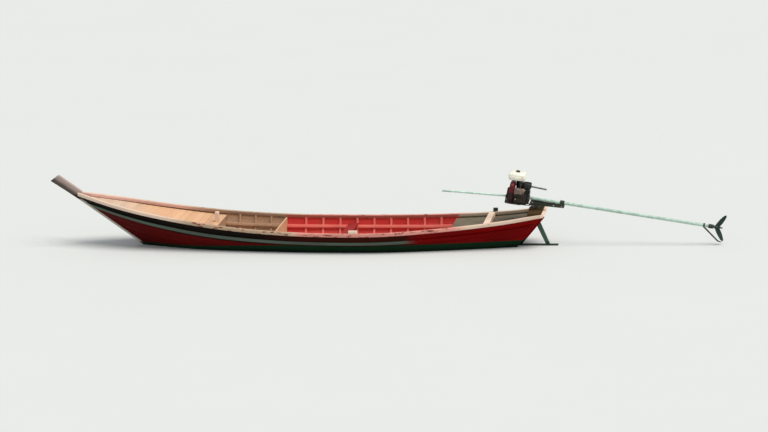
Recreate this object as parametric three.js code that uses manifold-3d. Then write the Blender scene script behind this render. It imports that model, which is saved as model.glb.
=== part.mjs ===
// A wooden longtail fishing boat afloat: a plank-on-frame hull with its decks and floors, and a petrol
// engine that swivels and tilts on the stern with its long shaft and propeller.
// Millimetres. +X points to the bow, +Y to port, +Z up. The origin is amidships, on the centreline,
// at the height of the water's surface.
import * as THREE from "three";
import { mergeVertices } from "three/addons/utils/BufferGeometryUtils.js";
import Module from "manifold-3d";

const wasm = await Module();
wasm.setup();

// Driving dimensions
const PLANK = 25; // hull planking
const SEAT = 0.5; // gap between a piece and what carries it
const SHEET = 3; // wall of what is made of sheet metal or pipe
const SEAM = 0.0018; // seam between strakes, as a part of the planking's height
const KEEL_HALF = 38; // half the thickness of keel and stem
const KEEL_DROP = 60; // keel below the planking
const KEEL_RISE = 22; // keel inside the planking
const RAIL = { high: 60, outside: 20, inside: 45 };
const RIB = { deep: 30, half: 18 };
const STRINGER = { low: 0.8, high: 0.865, thick: 24 };
const RUB = { low: 0.845, high: 0.9, thick: 22, aft: -3600, fore: 4330 };
const DECK = { low: 0.955, high: 0.975 };
const FLOOR = { z: -110, thick: 20, boards: 5, slot: 8, margin: 30 };
const TRANSOM = { aft: -3690, fore: -3652 };
const STERN_RAIL = { aft: -3712, fore: -3640 };
const BULKHEAD_HALF = 11;
const BULKHEADS = { aft: -2150, mid: 880, fore: 1950 };
const HOLD_RIBS = { first: -1860, step: 300, count: 9 };
const WELL_RIBS = { first: 1150, step: 270, count: 3 };
const RIB_LINES = [HOLD_RIBS, WELL_RIBS].map(({ first, step, count }) =>
  Array.from({ length: count }, (_, i) => first + i * step)
);

// Hull stations from the transom to the stem. x, sheerZ and breadth: place and half breadth of the
// planking's top edge. keelX, keelZ and keelY: where it meets the keel or stem. full: 0 for a straight
// V section, 1 for a square bilge.
const STATIONS = [
  { x: -3690, sheerZ: 540, breadth: 330, keelX: -3060, keelZ: -200, keelY: 38.5, full: 0.45 },
  { x: -3000, sheerZ: 440, breadth: 440, keelX: -2640, keelZ: -238, keelY: 38.5, full: 0.55 },
  { x: -2000, sheerZ: 352, breadth: 597, keelX: -1970, keelZ: -270, keelY: 38.5, full: 0.66 },
  { x: -1000, sheerZ: 302, breadth: 735, keelX: -1000, keelZ: -270, keelY: 38.5, full: 0.72 },
  { x: 0, sheerZ: 300, breadth: 750, keelX: 0, keelZ: -270, keelY: 38.5, full: 0.72 },
  { x: 1000, sheerZ: 335, breadth: 695, keelX: 1000, keelZ: -270, keelY: 38.5, full: 0.7 },
  { x: 2000, sheerZ: 425, breadth: 605, keelX: 1960, keelZ: -270, keelY: 38.5, full: 0.62 },
  { x: 3000, sheerZ: 575, breadth: 480, keelX: 2450, keelZ: -256, keelY: 38.5, full: 0.42 },
  { x: 3700, sheerZ: 712, breadth: 335, keelX: 2720, keelZ: -244, keelY: 42, full: 0.2 },
  { x: 4400, sheerZ: 868, breadth: 64, keelX: 2880, keelZ: -240, keelY: 64, full: 0 },
];
// Lines along the hull (by their place at the sheer) and rows up its side (0 keel, 1 sheer).
const LINES = [
  TRANSOM.aft, TRANSOM.fore, -3400, -3100, -2750, -2400, BULKHEADS.aft,
  ...RIB_LINES[0], BULKHEADS.mid, ...RIB_LINES[1], BULKHEADS.fore,
  2300, 2650, 3000, 3300, 3600, 3850, 4050, 4250, 4400,
];
const ROWS = [0, 0.16, 0.32, 0.48, 0.61, 0.74, 0.865, 0.9, 1];
// Planking of each side: from and to along the hull, and from which row to which. Planks butt at the
// bulkheads and at the bilge.
const BILGE_ROW = 0.48;
const BUTTS = [BULKHEADS.aft, BULKHEADS.mid, BULKHEADS.fore];
const PLANKING = [
  { name: "stern_planking", xs: [TRANSOM.aft, BUTTS[0]], rows: [0, 0.9], finish: "hullRed" },
  { name: "hold_bottom_planks", xs: [BUTTS[0], BUTTS[1]], rows: [0, BILGE_ROW], finish: "bottomGreen" },
  { name: "hold_side_planks", xs: [BUTTS[0], BUTTS[1]], rows: [BILGE_ROW, 0.9], finish: "hullRed" },
  { name: "well_bottom_planks", xs: [BUTTS[1], BUTTS[2]], rows: [0, BILGE_ROW], finish: "bottomGreen" },
  { name: "well_side_planks", xs: [BUTTS[1], BUTTS[2]], rows: [BILGE_ROW, 0.9], finish: "hullRed" },
  { name: "bow_planking", xs: [BUTTS[2], 4400], rows: [0, 0.9], finish: "hullRed" },
  { name: "sheer_strake", xs: [TRANSOM.aft, 4400], rows: [0.9, 1], finish: "hullDark" },
];
const SIDES = { port: 1, starboard: -1 };

// Swivelling engine and tail. Its group turns about the tilt pin, with x along the shaft to the front.
const PIVOT = { x: -3560, z: 728 };
const TAIL_ANGLE = THREE.MathUtils.degToRad(9.15); // the shaft slopes down to the rear
const AXIS_Z = 68; // the shaft above the tilt pin
const BASE_Z = AXIS_Z - 106; // the engine's foot
const TUBE = { r: 27, front: 128, rear: -2940 };
const PROP = { x: -3070, shaft: 12, hub: 28, half: 38, tip: 225, rake: 0.58, chord: 130, thick: 9 };

// Helpers: meshes, booleans and bent boxes
const root = new THREE.Group();
const swivel = new THREE.Group();
const tail = new THREE.Group();
tail.position.set(PIVOT.x, 0, PIVOT.z);
tail.rotation.y = -TAIL_ANGLE;
root.add(swivel, tail);

const paint = (color, roughness, metalness = 0) =>
  new THREE.MeshStandardMaterial({ color, roughness, metalness });
const FINISH = {
  hullRed: paint(0x6e1512, 0.55),
  hullDark: paint(0x1a1612, 0.6),
  bottomGreen: paint(0x16241a, 0.7),
  stripe: paint(0x6f7f74, 0.6),
  rail: paint(0xd8ab9b, 0.65),
  peach: paint(0xe9bb95, 0.7),
  holdRed: paint(0xb33a34, 0.6),
  wood: paint(0x8a6748, 0.8),
  greyWood: paint(0x8d8672, 0.85),
  darkSteel: paint(0x23251f, 0.5, 0.6),
  galvanised: paint(0xb9cabf, 0.45, 0.7),
  engineRed: paint(0x7c1f22, 0.4),
  tankWhite: paint(0xf3ecda, 0.35),
  alloy: paint(0xb5ada2, 0.45, 0.8),
  black: paint(0x101110, 0.55),
  rubber: paint(0xa3c4b8, 0.9),
};

function add(name, geometry, material, parent = root) {
  const mesh = new THREE.Mesh(geometry, material);
  mesh.name = name;
  parent.add(mesh);
}

function solid(geometry) {
  const bare = geometry.clone();
  for (const name of ["normal", "uv"]) bare.deleteAttribute(name);
  const merged = mergeVertices(bare, 1e-3);
  return new wasm.Manifold(new wasm.Mesh({
    numProp: 3,
    vertProperties: merged.getAttribute("position").array,
    triVerts: new Uint32Array(merged.index.array),
  }));
}

function geometryOf(manifold) {
  const made = manifold.getMesh();
  return new THREE.BufferGeometry()
    .setAttribute("position", new THREE.BufferAttribute(new Float32Array(made.vertProperties), 3))
    .setIndex(new THREE.BufferAttribute(new Uint32Array(made.triVerts), 1));
}

const join = (...parts) => geometryOf(parts.map(solid).reduce((a, b) => a.add(b)));
const cut = (whole, ...tools) =>
  geometryOf(tools.map(solid).reduce((a, b) => a.subtract(b), solid(whole)));

// Turns the faces round if they point inwards, as after a mirroring placement.
function facingOut(geometry) {
  const p = geometry.getAttribute("position");
  const index = geometry.index.array;
  const [a, b, c] = [new THREE.Vector3(), new THREE.Vector3(), new THREE.Vector3()];
  let volume = 0;
  for (let i = 0; i < index.length; i += 3) {
    [a, b, c].forEach((v, k) => v.fromBufferAttribute(p, index[i + k]));
    volume += a.dot(b.cross(c));
  }
  if (volume < 0) index.reverse();
  return geometry;
}

// A box of cells whose corners are placed one by one: a plank, rail or rib bent to the hull.
function bent(along, across, through, place) {
  const g = new THREE.BoxGeometry(1, 1, 1, along.length - 1, across.length - 1, through.length - 1);
  const p = g.getAttribute("position");
  for (let i = 0; i < p.count; i++) {
    const [a, b, c] = [along, across, through].map((list, k) =>
      list[Math.round((p.getComponent(i, k) + 0.5) * (list.length - 1))]);
    p.setXYZ(i, ...place(a, b, c));
  }
  return facingOut(g);
}

function box(x, y, z) {
  const g = new THREE.BoxGeometry(x[1] - x[0], y[1] - y[0], z[1] - z[0]);
  return g.translate((x[0] + x[1]) / 2, (y[0] + y[1]) / 2, (z[0] + z[1]) / 2);
}

// A round bar from one point to another.
function rod(from, to, r, sides = 16, rTo = r) {
  const [a, b] = [new THREE.Vector3(...from), new THREE.Vector3(...to)];
  const g = new THREE.CylinderGeometry(rTo, r, a.distanceTo(b), sides);
  g.applyQuaternion(new THREE.Quaternion().setFromUnitVectors(
    new THREE.Vector3(0, 1, 0), b.clone().sub(a).normalize()));
  return g.translate(...a.add(b).multiplyScalar(0.5));
}

const outline = (points) => new THREE.Shape(points.map(([a, b]) => new THREE.Vector2(a, b)));

// A plate cut to a side outline of [x, z] points, from y[0] to y[1].
function sidePlate(points, y) {
  const g = new THREE.ExtrudeGeometry(outline(points), { depth: y[1] - y[0], bevelEnabled: false });
  return g.rotateX(Math.PI / 2).translate(0, y[1], 0);
}

// A block with rounded edges along x, with its round ends' bevel inside the given length.
function rounded(x, y, z, radius, bevel = 8, arc = 3) {
  const [w, h] = [y[1] - y[0] - 2 * bevel, z[1] - z[0] - 2 * bevel];
  const r = Math.max(1, radius - bevel);
  const s = new THREE.Shape();
  s.moveTo(r, 0).lineTo(w - r, 0).absarc(w - r, r, r, -Math.PI / 2, 0);
  s.lineTo(w, h - r).absarc(w - r, h - r, r, 0, Math.PI / 2);
  s.lineTo(r, h).absarc(r, h - r, r, Math.PI / 2, Math.PI);
  s.lineTo(0, r).absarc(r, r, r, Math.PI, 1.5 * Math.PI);
  const g = new THREE.ExtrudeGeometry(s, {
    depth: x[1] - x[0] - 2 * bevel, curveSegments: arc, bevelSize: bevel, bevelThickness: bevel,
    bevelSegments: 2,
  });
  return g.rotateX(Math.PI / 2).rotateZ(Math.PI / 2)
    .translate(x[0] + bevel, y[0] + bevel, z[0] + bevel);
}

// The hull's surface
function station(x) {
  const last = STATIONS.length - 2;
  const i = Math.min(last, Math.max(0, STATIONS.findIndex((s) => s.x > x) - 1));
  const k = STATIONS.findIndex((s) => s.x > x) < 0 ? last : i;
  const [a, b] = [STATIONS[k], STATIONS[k + 1]];
  const [before, after] = [STATIONS[k - 1] ?? a, STATIONS[k + 2] ?? b];
  const h = b.x - a.x;
  const f = (x - a.x) / h;
  return Object.fromEntries(Object.keys(a).map((key) => {
    const slopeA = (b[key] - before[key]) / (b.x - before.x);
    const slopeB = (after[key] - a[key]) / (after.x - a.x);
    return [key, a[key] * (2 * f ** 3 - 3 * f ** 2 + 1) + b[key] * (3 * f ** 2 - 2 * f ** 3)
      + h * slopeA * (f ** 3 - 2 * f ** 2 + f) + h * slopeB * (f ** 3 - f ** 2)];
  }));
}

// The outside of the planking on the port side: x along the hull, t up its side.
function outside(x, t) {
  const s = station(x);
  const middle = (s.keelY + s.breadth) / 2;
  const bilgeY = THREE.MathUtils.lerp(middle, s.breadth, s.full);
  const y = (1 - t) ** 2 * s.keelY + 2 * t * (1 - t) * bilgeY + t ** 2 * s.breadth;
  const rise = t * (1 - t) * (1 - s.full) + t ** 2;
  return new THREE.Vector3(
    s.keelX + (s.x - s.keelX) * rise, y, s.keelZ + (s.sheerZ - s.keelZ) * rise);
}

// Height of the planking's top edge, straight from line to line.
function sheerLine(x) {
  const i = Math.max(0, Math.min(LINES.length - 2, LINES.findLastIndex((line) => line <= x)));
  const [a, b] = [LINES[i], LINES[i + 1]];
  return THREE.MathUtils.mapLinear(x, a, b, station(a).sheerZ, station(b).sheerZ);
}

// The planking's surface moved into the hull by a depth measured square to it.
function inside(x, t, depth) {
  const [xa, xb] = [Math.max(LINES[0], x - 1), Math.min(LINES.at(-1), x + 1)];
  const [ta, tb] = [Math.max(0, t - 0.01), Math.min(1, t + 0.01)];
  const up = outside(x, tb).sub(outside(x, ta));
  const ahead = outside(xb, t).sub(outside(xa, t));
  const p = outside(x, t);
  const q = p.clone().addScaledVector(up.cross(ahead).normalize(), -depth);
  if (t === 1) q.z = sheerLine(q.x);
  q.y = Math.max(q.y, KEEL_HALF + SEAT);
  return q;
}

// The flat-faced surface between the lines and rows, which all pieces of the hull share.
function skin(x, t, depth) {
  const cell = (list, v) => Math.min(list.length - 2, list.findLastIndex((a) => a <= v));
  const [i, j] = [cell(LINES, x), cell(ROWS, t)];
  const f = (x - LINES[i]) / (LINES[i + 1] - LINES[i]);
  const g = (t - ROWS[j]) / (ROWS[j + 1] - ROWS[j]);
  const edge = (k) => inside(LINES[k], ROWS[j], depth).lerp(inside(LINES[k], ROWS[j + 1], depth), g);
  return edge(i).lerp(edge(i + 1), f);
}

const linesBetween = (from, to) => [from, ...LINES.filter((x) => x > from && x < to), to];
const rowsBetween = (from, to) => [from, ...ROWS.filter((t) => t > from && t < to), to];
const railTop = (x) => skin(x, 1, 0).z + RAIL.high;

// Height of a deck's top over a place, found from the line that reaches this place.
function deckTop(x) {
  let line = x;
  for (let i = 0; i < 6; i++) line += x - skin(line, DECK.high, PLANK + 2 * SEAT).x;
  return skin(line, DECK.high, PLANK + 2 * SEAT).z;
}

// Strakes, rubbing strakes, rails and stringers, one to each side
function plank(side, lines, rows, depths) {
  return bent(lines, rows, depths, (x, t, depth) => {
    const p = skin(x, t, depth);
    return [p.x, p.y * side, p.z];
  });
}

function rail(side, lines) {
  return bent(lines, [-RAIL.inside, RAIL.outside], [SEAT, RAIL.high], (x, out, up) => {
    const p = skin(x, 1, 0);
    return [p.x, Math.max(KEEL_HALF + SEAT, p.y + out) * side, p.z + up];
  });
}

// A stringer between the end bulkheads. grow makes it larger all round, to cut its notch.
const STRINGER_ENDS = [BULKHEADS.aft + BULKHEAD_HALF + SEAT, BULKHEADS.fore - BULKHEAD_HALF - SEAT];
const ROWS_PER_MM = 1 / 400;
const stringer = (side, grow) => plank(
  side, linesBetween(STRINGER_ENDS[0] - grow, STRINGER_ENDS[1] + grow),
  rowsBetween(STRINGER.low - grow * ROWS_PER_MM, STRINGER.high + grow * ROWS_PER_MM),
  [PLANK + RIB.deep + 2 * SEAT - grow, PLANK + RIB.deep + STRINGER.thick + grow]);

for (const [name, side] of Object.entries(SIDES)) {
  for (const { name: piece, xs, rows, finish } of PLANKING) {
    const low = rows[0] && rows[0] + SEAM; // a strake begins just above the one below
    const from = xs[0] === TRANSOM.aft ? xs[0] : xs[0] + 2 * SEAT; // and ahead of the one behind
    add(`${piece}_${name}`, plank(side, linesBetween(from, xs[1]), rowsBetween(low, rows[1]),
      [0, PLANK]), FINISH[finish]);
  }
  add(`rub_strake_${name}`, plank(side, linesBetween(RUB.aft, RUB.fore), rowsBetween(RUB.low, RUB.high),
    [-RUB.thick, -SEAT]), FINISH.stripe);
  add(`gunwale_rail_${name}`, rail(side, linesBetween(STERN_RAIL.fore + SEAT, 4400)), FINISH.rail);
  add(`stringer_${name}`, stringer(side, 0), FINISH.holdRed);
}

// Keel, stem, stern post and transom
const SCARF_LINE = 3600;
add("keel", bent(linesBetween(TRANSOM.aft, SCARF_LINE), [-KEEL_HALF, KEEL_HALF],
  [-KEEL_DROP, KEEL_RISE], (x, y, up) => {
    const p = skin(x, 0, 0);
    return [p.x, y, p.z + up];
  }), FINISH.bottomGreen);
const scarf = skin(SCARF_LINE, 0, 0);
add("stem", sidePlate([
  [scarf.x + SEAT, scarf.z - KEEL_DROP], [2780, -304], [2850, -298], [2909, -272], [4429, 828],
  [4660, 984], [4884, 1130], [4744, 1230], [4540, 1083], [4345, 945], [4335, 890],
  [2845, -191], [scarf.x + SEAT, scarf.z + KEEL_RISE],
], [-KEEL_HALF, KEEL_HALF]), FINISH.rail);

const transomFoot = { x: -3060, z: -200 };
const UP_TRANSOM = { x: -0.648, z: 0.761 };
const onTransom = (along, out) => [
  transomFoot.x + UP_TRANSOM.x * along - UP_TRANSOM.z * out,
  transomFoot.z + UP_TRANSOM.z * along + UP_TRANSOM.x * out,
];
const POST = { long: 925, thick: 45, half: 30 };
add("stern_post", sidePlate([
  [transomFoot.x - SEAT, -260], onTransom(0, SEAT), onTransom(POST.long, SEAT),
  onTransom(POST.long, POST.thick), onTransom(-40, POST.thick),
], [-POST.half, POST.half]), FINISH.hullRed);

// A board across the hull: between two lines, from row to row, with its edges on the planking.
const across = (xs, rows, gap = SEAT) => bent(xs, rows, [-1, 1], (x, t, side) => {
  const p = skin(x, t, PLANK + gap);
  return [p.x, p.y * side, p.z];
});
add("transom", across([TRANSOM.aft, TRANSOM.fore], rowsBetween(0.03, 1)), FINISH.hullRed);
add("stern_rail", bent([STERN_RAIL.aft, TRANSOM.aft, TRANSOM.fore, STERN_RAIL.fore], [-1, 1],
  [SEAT, RAIL.high], (x, side, up) => {
    const y = skin(Math.max(x, TRANSOM.aft), 1, 0).y + RAIL.outside;
    return [x, y * side, sheerLine(x) + up];
  }), FINISH.rail);

// Bulkheads, decks, ribs, floors and thwart
const bulkhead = (x, top) => across([x - BULKHEAD_HALF, x + BULKHEAD_HALF], rowsBetween(0, top), 2 * SEAT);
const UNDER_DECK = DECK.low - 0.001;
add("fore_bulkhead", bulkhead(BULKHEADS.fore, UNDER_DECK), FINISH.peach);
add("mid_bulkhead", cut(bulkhead(BULKHEADS.mid, 1), stringer(1, 1), stringer(-1, 1)), FINISH.peach);
add("aft_bulkhead", bulkhead(BULKHEADS.aft, UNDER_DECK), FINISH.greyWood);

const deck = (from, to) => across(linesBetween(from, to), [DECK.low, DECK.high], 2 * SEAT);
const DECK_LIP = 25;
add("foredeck", deck(BULKHEADS.fore - DECK_LIP, 4268), FINISH.peach);
add("stern_deck", deck(TRANSOM.fore + 2 * SEAT, BULKHEADS.aft + DECK_LIP), FINISH.greyWood);

// How far up the planking's side the floor's height is, on the inner face of the ribs.
function floorRow(x) {
  const rows = Array.from({ length: 200 }, (_, i) => i / 200);
  return rows.findLast((t) => skin(x, t, PLANK + RIB.deep).z <= FLOOR.z - SEAT);
}

// One rib from sheer to sheer, with a floor timber whose top is level under the floor boards.
function rib(x) {
  const rows = [...ROWS, floorRow(x)].sort((a, b) => a - b);
  const turns = [...rows.map((t) => [-1, t]).reverse(), ...rows.map((t) => [1, t])];
  return bent([x - RIB.half, x + RIB.half], turns, [PLANK + SEAT, PLANK + RIB.deep],
    (at, [side, t], depth) => {
      const p = skin(at, t, depth);
      const z = depth > PLANK + SEAT ? Math.max(p.z, FLOOR.z - SEAT) : p.z;
      return [p.x, p.y * side, z];
    });
}
const keelson = (from, to) => bent(linesBetween(from, to), [-30, 30], [KEEL_RISE + 8, 120],
  (x, y, up) => {
    const p = skin(x, 0, 0);
    return [p.x, y, p.z + up];
  });
RIB_LINES.forEach((lines, i) => {
  const name = ["hold_ribs", "well_ribs"][i];
  add(name, join(keelson(lines[0] - 60, lines.at(-1) + 60), ...lines.map(rib)),
    i ? FINISH.wood : FINISH.holdRed);
});

// Floor boards side by side, held together by battens that lie between the ribs.
function floorBoards(from, to, battens) {
  const half = (x) => skin(x, floorRow(x), PLANK + RIB.deep).y - FLOOR.margin;
  const xs = [0, 0.25, 0.5, 0.75, 1].map((f) => from + f * (to - from));
  const boards = Array.from({ length: FLOOR.boards }, (_, i) => bent(xs, [i, i + 1], [0, FLOOR.thick],
    (x, edge, up) => {
      const y = half(x) * (2 * edge / FLOOR.boards - 1);
      const slot = edge === i ? FLOOR.slot / 2 : -FLOOR.slot / 2;
      return [x, y + slot, FLOOR.z + up];
    }));
  const cleats = battens.flatMap((x) => [-1, 1].map((side) => {
    const ends = [34 * side, (half(x) - 30) * side].sort((a, b) => a - b);
    return box([x - 35, x + 35], ends, [FLOOR.z - 18, FLOOR.z + 6]);
  }));
  return join(...boards, ...cleats);
}
const between = (ribs, i) => ribs.first + (i + 0.5) * ribs.step;
add("hold_floor", floorBoards(-2080, 810, [0, 3, 7].map((i) => between(HOLD_RIBS, i))), FINISH.wood);
add("well_floor", floorBoards(960, 1870, [0, 1].map((i) => between(WELL_RIBS, i))), FINISH.wood);

const THWART = { x: -300, half: 85, thick: 28 };
const thwartX = [THWART.x - THWART.half, THWART.x + THWART.half];
const thwartZ = Math.ceil(Math.max(...thwartX.map((x) =>
  skin(x, STRINGER.high, PLANK + RIB.deep + STRINGER.thick).z)) + 0.2);
const thwartY = skin(thwartX[0], STRINGER.high, PLANK + RIB.deep + 2 * SEAT).y - 2;
add("thwart", box(thwartX, [-thwartY, thwartY], [thwartZ, thwartZ + THWART.thick]), FINISH.holdRed);

// Posts and blocks that stand on a deck or a rail, their feet cut to its slope
const standing = (x, y, foot, height) => bent(x, y, [0, 1], (at, side, up) =>
  [at, side, up ? foot((x[0] + x[1]) / 2) + height : foot(at) + SEAT]);
add("mooring_post", standing([1935, 2005], [-35, 35], deckTop, 180), FINISH.rail);
const railMiddle = (x) => skin(x, 1, 0).y + (RAIL.outside - RAIL.inside) / 2;
const onRail = (x, side, half) =>
  [side * railMiddle(x) - half, side * railMiddle(x) + half];
add("thole_block", standing([-585, -435], onRail(-510, 1, 24), railTop, 55), FINISH.rail);
add("stern_bitt", standing([-2850, -2770], onRail(-2810, -1, 25), railTop, 62), FINISH.darkSteel);

const CROSS_BEAM = { x: [-2805, -2695] }; // lies on the stern deck between the rails
add("stern_beam", bent(linesBetween(...CROSS_BEAM.x), [-1, 1], [0, 1], (x, side, up) => [
  x, (skin(x, 1, 0).y - RAIL.inside - 2 * SEAT) * side, up ? railTop(x) : deckTop(x) + SEAT,
]), FINISH.rail);

// Board at the water behind the stern post, with the strut that holds it
const BOARD = { half: 65, z: [-30, 8], rear: -3920 };
const postFace = (z) => transomFoot.x - UP_TRANSOM.z * POST.thick
  + (z - transomFoot.z - UP_TRANSOM.x * POST.thick) * UP_TRANSOM.x / UP_TRANSOM.z - SEAT;
add("squat_board", join(
  box([BOARD.rear, postFace(BOARD.z[1])], [-BOARD.half, BOARD.half], BOARD.z),
  sidePlate([
    [postFace(328), 328], [postFace(392), 392], [-3795, BOARD.z[0] + 10], [-3727, BOARD.z[0] + 10],
  ], [-22, 22])), FINISH.greyWood);

// Engine beam across the rails, the block on it and the socket for the swivelling fork
const BEAM = { x: [-3674, -3440], top: 618, half: 350 };
const BLOCK = { top: 648, half: 90 };
const SOCKET = { plate: 10, half: 60, sleeve: 20, bore: 12.8, deep: 60 };
const upright = (r, from, to) => rod([PIVOT.x, 0, from], [PIVOT.x, 0, to], r, 20);
const sleeveHole = upright(SOCKET.sleeve + 2 * SEAT, 500, 700);
const beam = bent([BEAM.x[0], STERN_RAIL.fore, BEAM.x[1]], [-BEAM.half, BEAM.half], [0, 1],
  (x, y, up) => [x, y, up ? BEAM.top : sheerLine(x) + RAIL.high + SEAT]);
add("engine_beam", cut(
  join(beam, box(BEAM.x, [-BLOCK.half, BLOCK.half], [BEAM.top - 1, BLOCK.top])), sleeveHole),
FINISH.wood);
const plateTop = BLOCK.top + SEAT + SOCKET.plate;
add("swivel_socket", cut(
  join(box([PIVOT.x - SOCKET.half, PIVOT.x + SOCKET.half], [-SOCKET.half, SOCKET.half],
    [BLOCK.top + SEAT, plateTop]), upright(SOCKET.sleeve, BLOCK.top - SOCKET.deep, plateTop - 2)),
  upright(SOCKET.bore, 500, 700)), FINISH.darkSteel);

// Fork that turns in the socket, and the tilt pin through its ears
const FORK = { inner: 70, ear: 12, half: 34, foot: 12, pin: 9, stub: 12, over: 26 };
const forkFoot = plateTop + SEAT;
const forkReach = FORK.inner + FORK.ear;
const earPlate = (side) => {
  const y = [side * FORK.inner, side * forkReach].sort((a, b) => a - b);
  return join(
    box([PIVOT.x - FORK.half, PIVOT.x + FORK.half], y, [forkFoot, PIVOT.z]),
    rod([PIVOT.x, y[0], PIVOT.z], [PIVOT.x, y[1], PIVOT.z], FORK.over, 16));
};
add("swivel_fork", join(
  box([PIVOT.x - FORK.half, PIVOT.x + FORK.half], [-forkReach, forkReach],
    [forkFoot, forkFoot + FORK.foot]),
  earPlate(1), earPlate(-1),
  rod([PIVOT.x, -forkReach - 10, PIVOT.z], [PIVOT.x, forkReach + 10, PIVOT.z], FORK.pin, 16),
  upright(FORK.stub, BLOCK.top - SOCKET.deep + 5, forkFoot + 4)),
FINISH.darkSteel, swivel);

// Frame that carries engine and tube: two side bars, an engine bed and the handle's bracket
const FRAME = { y: 54, thick: 8, rear: -480, front: 520, bed: 8 };
const BED_UNDER = BASE_Z - FRAME.bed;
const sideBar = (side) => cut(
  sidePlate([
    [FRAME.front, BED_UNDER], [FRAME.front, BED_UNDER - 28], [290, BED_UNDER - 28],
    [240, BED_UNDER - 16], [110, BED_UNDER - 10], [50, AXIS_Z - 100], [FRAME.rear, AXIS_Z - 72],
    [FRAME.rear, AXIS_Z - 34], [96, AXIS_Z - 34], [118, BED_UNDER + 2], [150, BED_UNDER],
  ], [side * FRAME.y, side * (FRAME.y + FRAME.thick)].sort((a, b) => a - b)),
  rod([0, -100, 0], [0, 100, 0], FORK.pin + 0.8, 16));
const crossBar = (x) => box(
  [x - 30, x + 30], [-FRAME.y - 2, FRAME.y + 2], [AXIS_Z - 62, AXIS_Z - 50]);
const onAxis = (x) => [x, 0, AXIS_Z];
const clampRing = join(rod(onAxis(-400), onAxis(-474), 44, 20),
  box([-470, -404], [-FRAME.y - 2, FRAME.y + 2], [AXIS_Z - 68, AXIS_Z - 10]));
add("engine_frame", join(
  sideBar(1), sideBar(-1), crossBar(60), crossBar(-300),
  box([168, FRAME.front + 10], [-115, 115], [BED_UNDER - 2, BASE_Z - SEAT]),
  box([FRAME.front - 2, FRAME.front + 10], [-40, 40], [BED_UNDER - 2, 66]),
  cut(clampRing, rod(onAxis(-380), onAxis(-490), TUBE.r + SEAT))),
FINISH.darkSteel, tail);

// Engine, in the tail's frame: x up to the front, z measured from the tilt pin
const above = (...heights) => heights.map((height) => AXIS_Z + height); // heights over the shaft
const CRANKCASE = { x: [172, 395], y: [-112, 118], z: [BASE_Z, AXIS_Z + 96], edge: 30 };
const CYLINDER = { x: 300, above: 20, face: 127.5, barrel: [128, 236], head: [230, 272] };
const FINS = { first: 134, step: 17, count: 6, half: 84, thick: 7, reach: 70 };
const SHROUD = { x: [395.5, 471], y: [-150, 205], z: [BASE_Z + 6, AXIS_Z + 245], edge: 90, bevel: 14 };
const RECOIL = { x: [471.5, 515], above: 24, rear: 118, front: 92 };
const TANK = { x: [238, 516], y: [-132, 148], z: above(286, 416), edge: 46, bevel: 26 };
const CAP = { x: 377, r: 34, neck: 25, high: 24 };
const MUFFLER = { x: [116, 234], y: [10, 158], z: above(176, 276), edge: 30 };
const MUFFLER_NECK = { x: [200, 234], y: [96, 146], z: above(120, 190) };
const EXHAUST = { from: [114.7, 86, AXIS_Z + 220], to: [-150, 86, AXIS_Z + 207], r: 15 };
const AIR_BOX = { x: [252, 388], y: [-232, -156], z: above(66, 222), edge: 26 };
const AIR_DUCT = { x: [300, 350], y: [-160, -112.5], z: above(40, 92) };
const DRIVE = { x: [129, 171.5], y: [-96, 96], z: [BASE_Z + 4, AXIS_Z + 118], edge: 40, boss: 50 };
const SILENCER_ARM = { x: [133, 165], y: [16, 92], z: [DRIVE.z[1] - 6, MUFFLER.z[0] - SEAT] };
const BRACKETS = [ // between the crankcase or the shroud and the tank
  { x: [300, 330], y: [-88, 88], z: [CRANKCASE.z[1] - 4, TANK.z[0] - SEAT] },
  { x: [320, 390], y: [-88, -74], z: [AXIS_Z + 160, TANK.z[0] - SEAT] },
];
const LEAN = THREE.MathUtils.degToRad(25); // the cylinder above the horizontal, to port
const leaning = (g) => g.rotateX(LEAN).translate(CYLINDER.x, 0, AXIS_Z + CYLINDER.above);
const blockOf = ({ x, y, z }) => box(x, y, z);
const roundedOf = ({ x, y, z, edge, bevel = 8 }, arc) => rounded(x, y, z, edge, bevel, arc);

// The same rounded block, smaller by the wall on every side.
function hollowOf(block) {
  const inner = ([low, high]) => [low + SHEET, high - SHEET];
  const [x, y, z] = [block.x, block.y, block.z].map(inner);
  return roundedOf({ x, y, z, edge: block.edge - SHEET, bevel: block.bevel - SHEET });
}

add("crankcase", join(
  cut(roundedOf(CRANKCASE), leaning(box([-200, 200], [CYLINDER.face, 300], [-200, 200]))),
  ...BRACKETS.map(blockOf)), FINISH.alloy, tail);
const fin = (i) => leaning(box([-FINS.half, FINS.half],
  [FINS.first + i * FINS.step, FINS.first + i * FINS.step + FINS.thick], [-FINS.reach, FINS.reach]));
add("cylinder", join(
  leaning(box([-62, 62], CYLINDER.barrel, [-58, 58])),
  ...Array.from({ length: FINS.count }, (_, i) => fin(i)),
  leaning(rounded([-52, 52], CYLINDER.head, [-50, 50], 16, 6, 2))), FINISH.alloy, tail);

const recoil = (from, to, r, rTo) =>
  rod([from, 0, AXIS_Z + RECOIL.above], [to, 0, AXIS_Z + RECOIL.above], r, 28, rTo);
const SHAFT_HOLE = 70; // in the shroud's rear wall
add("fan_shroud", cut(roundedOf(SHROUD), hollowOf(SHROUD),
  recoil(SHROUD.x[0] - 10, SHROUD.x[0] + 10, SHAFT_HOLE)), FINISH.engineRed, tail);
add("recoil_cover", cut(recoil(...RECOIL.x, RECOIL.rear, RECOIL.front),
  recoil(RECOIL.x[0] - 1, RECOIL.x[1] - SHEET, RECOIL.rear - SHEET, RECOIL.front - SHEET)),
FINISH.engineRed, tail);

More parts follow.
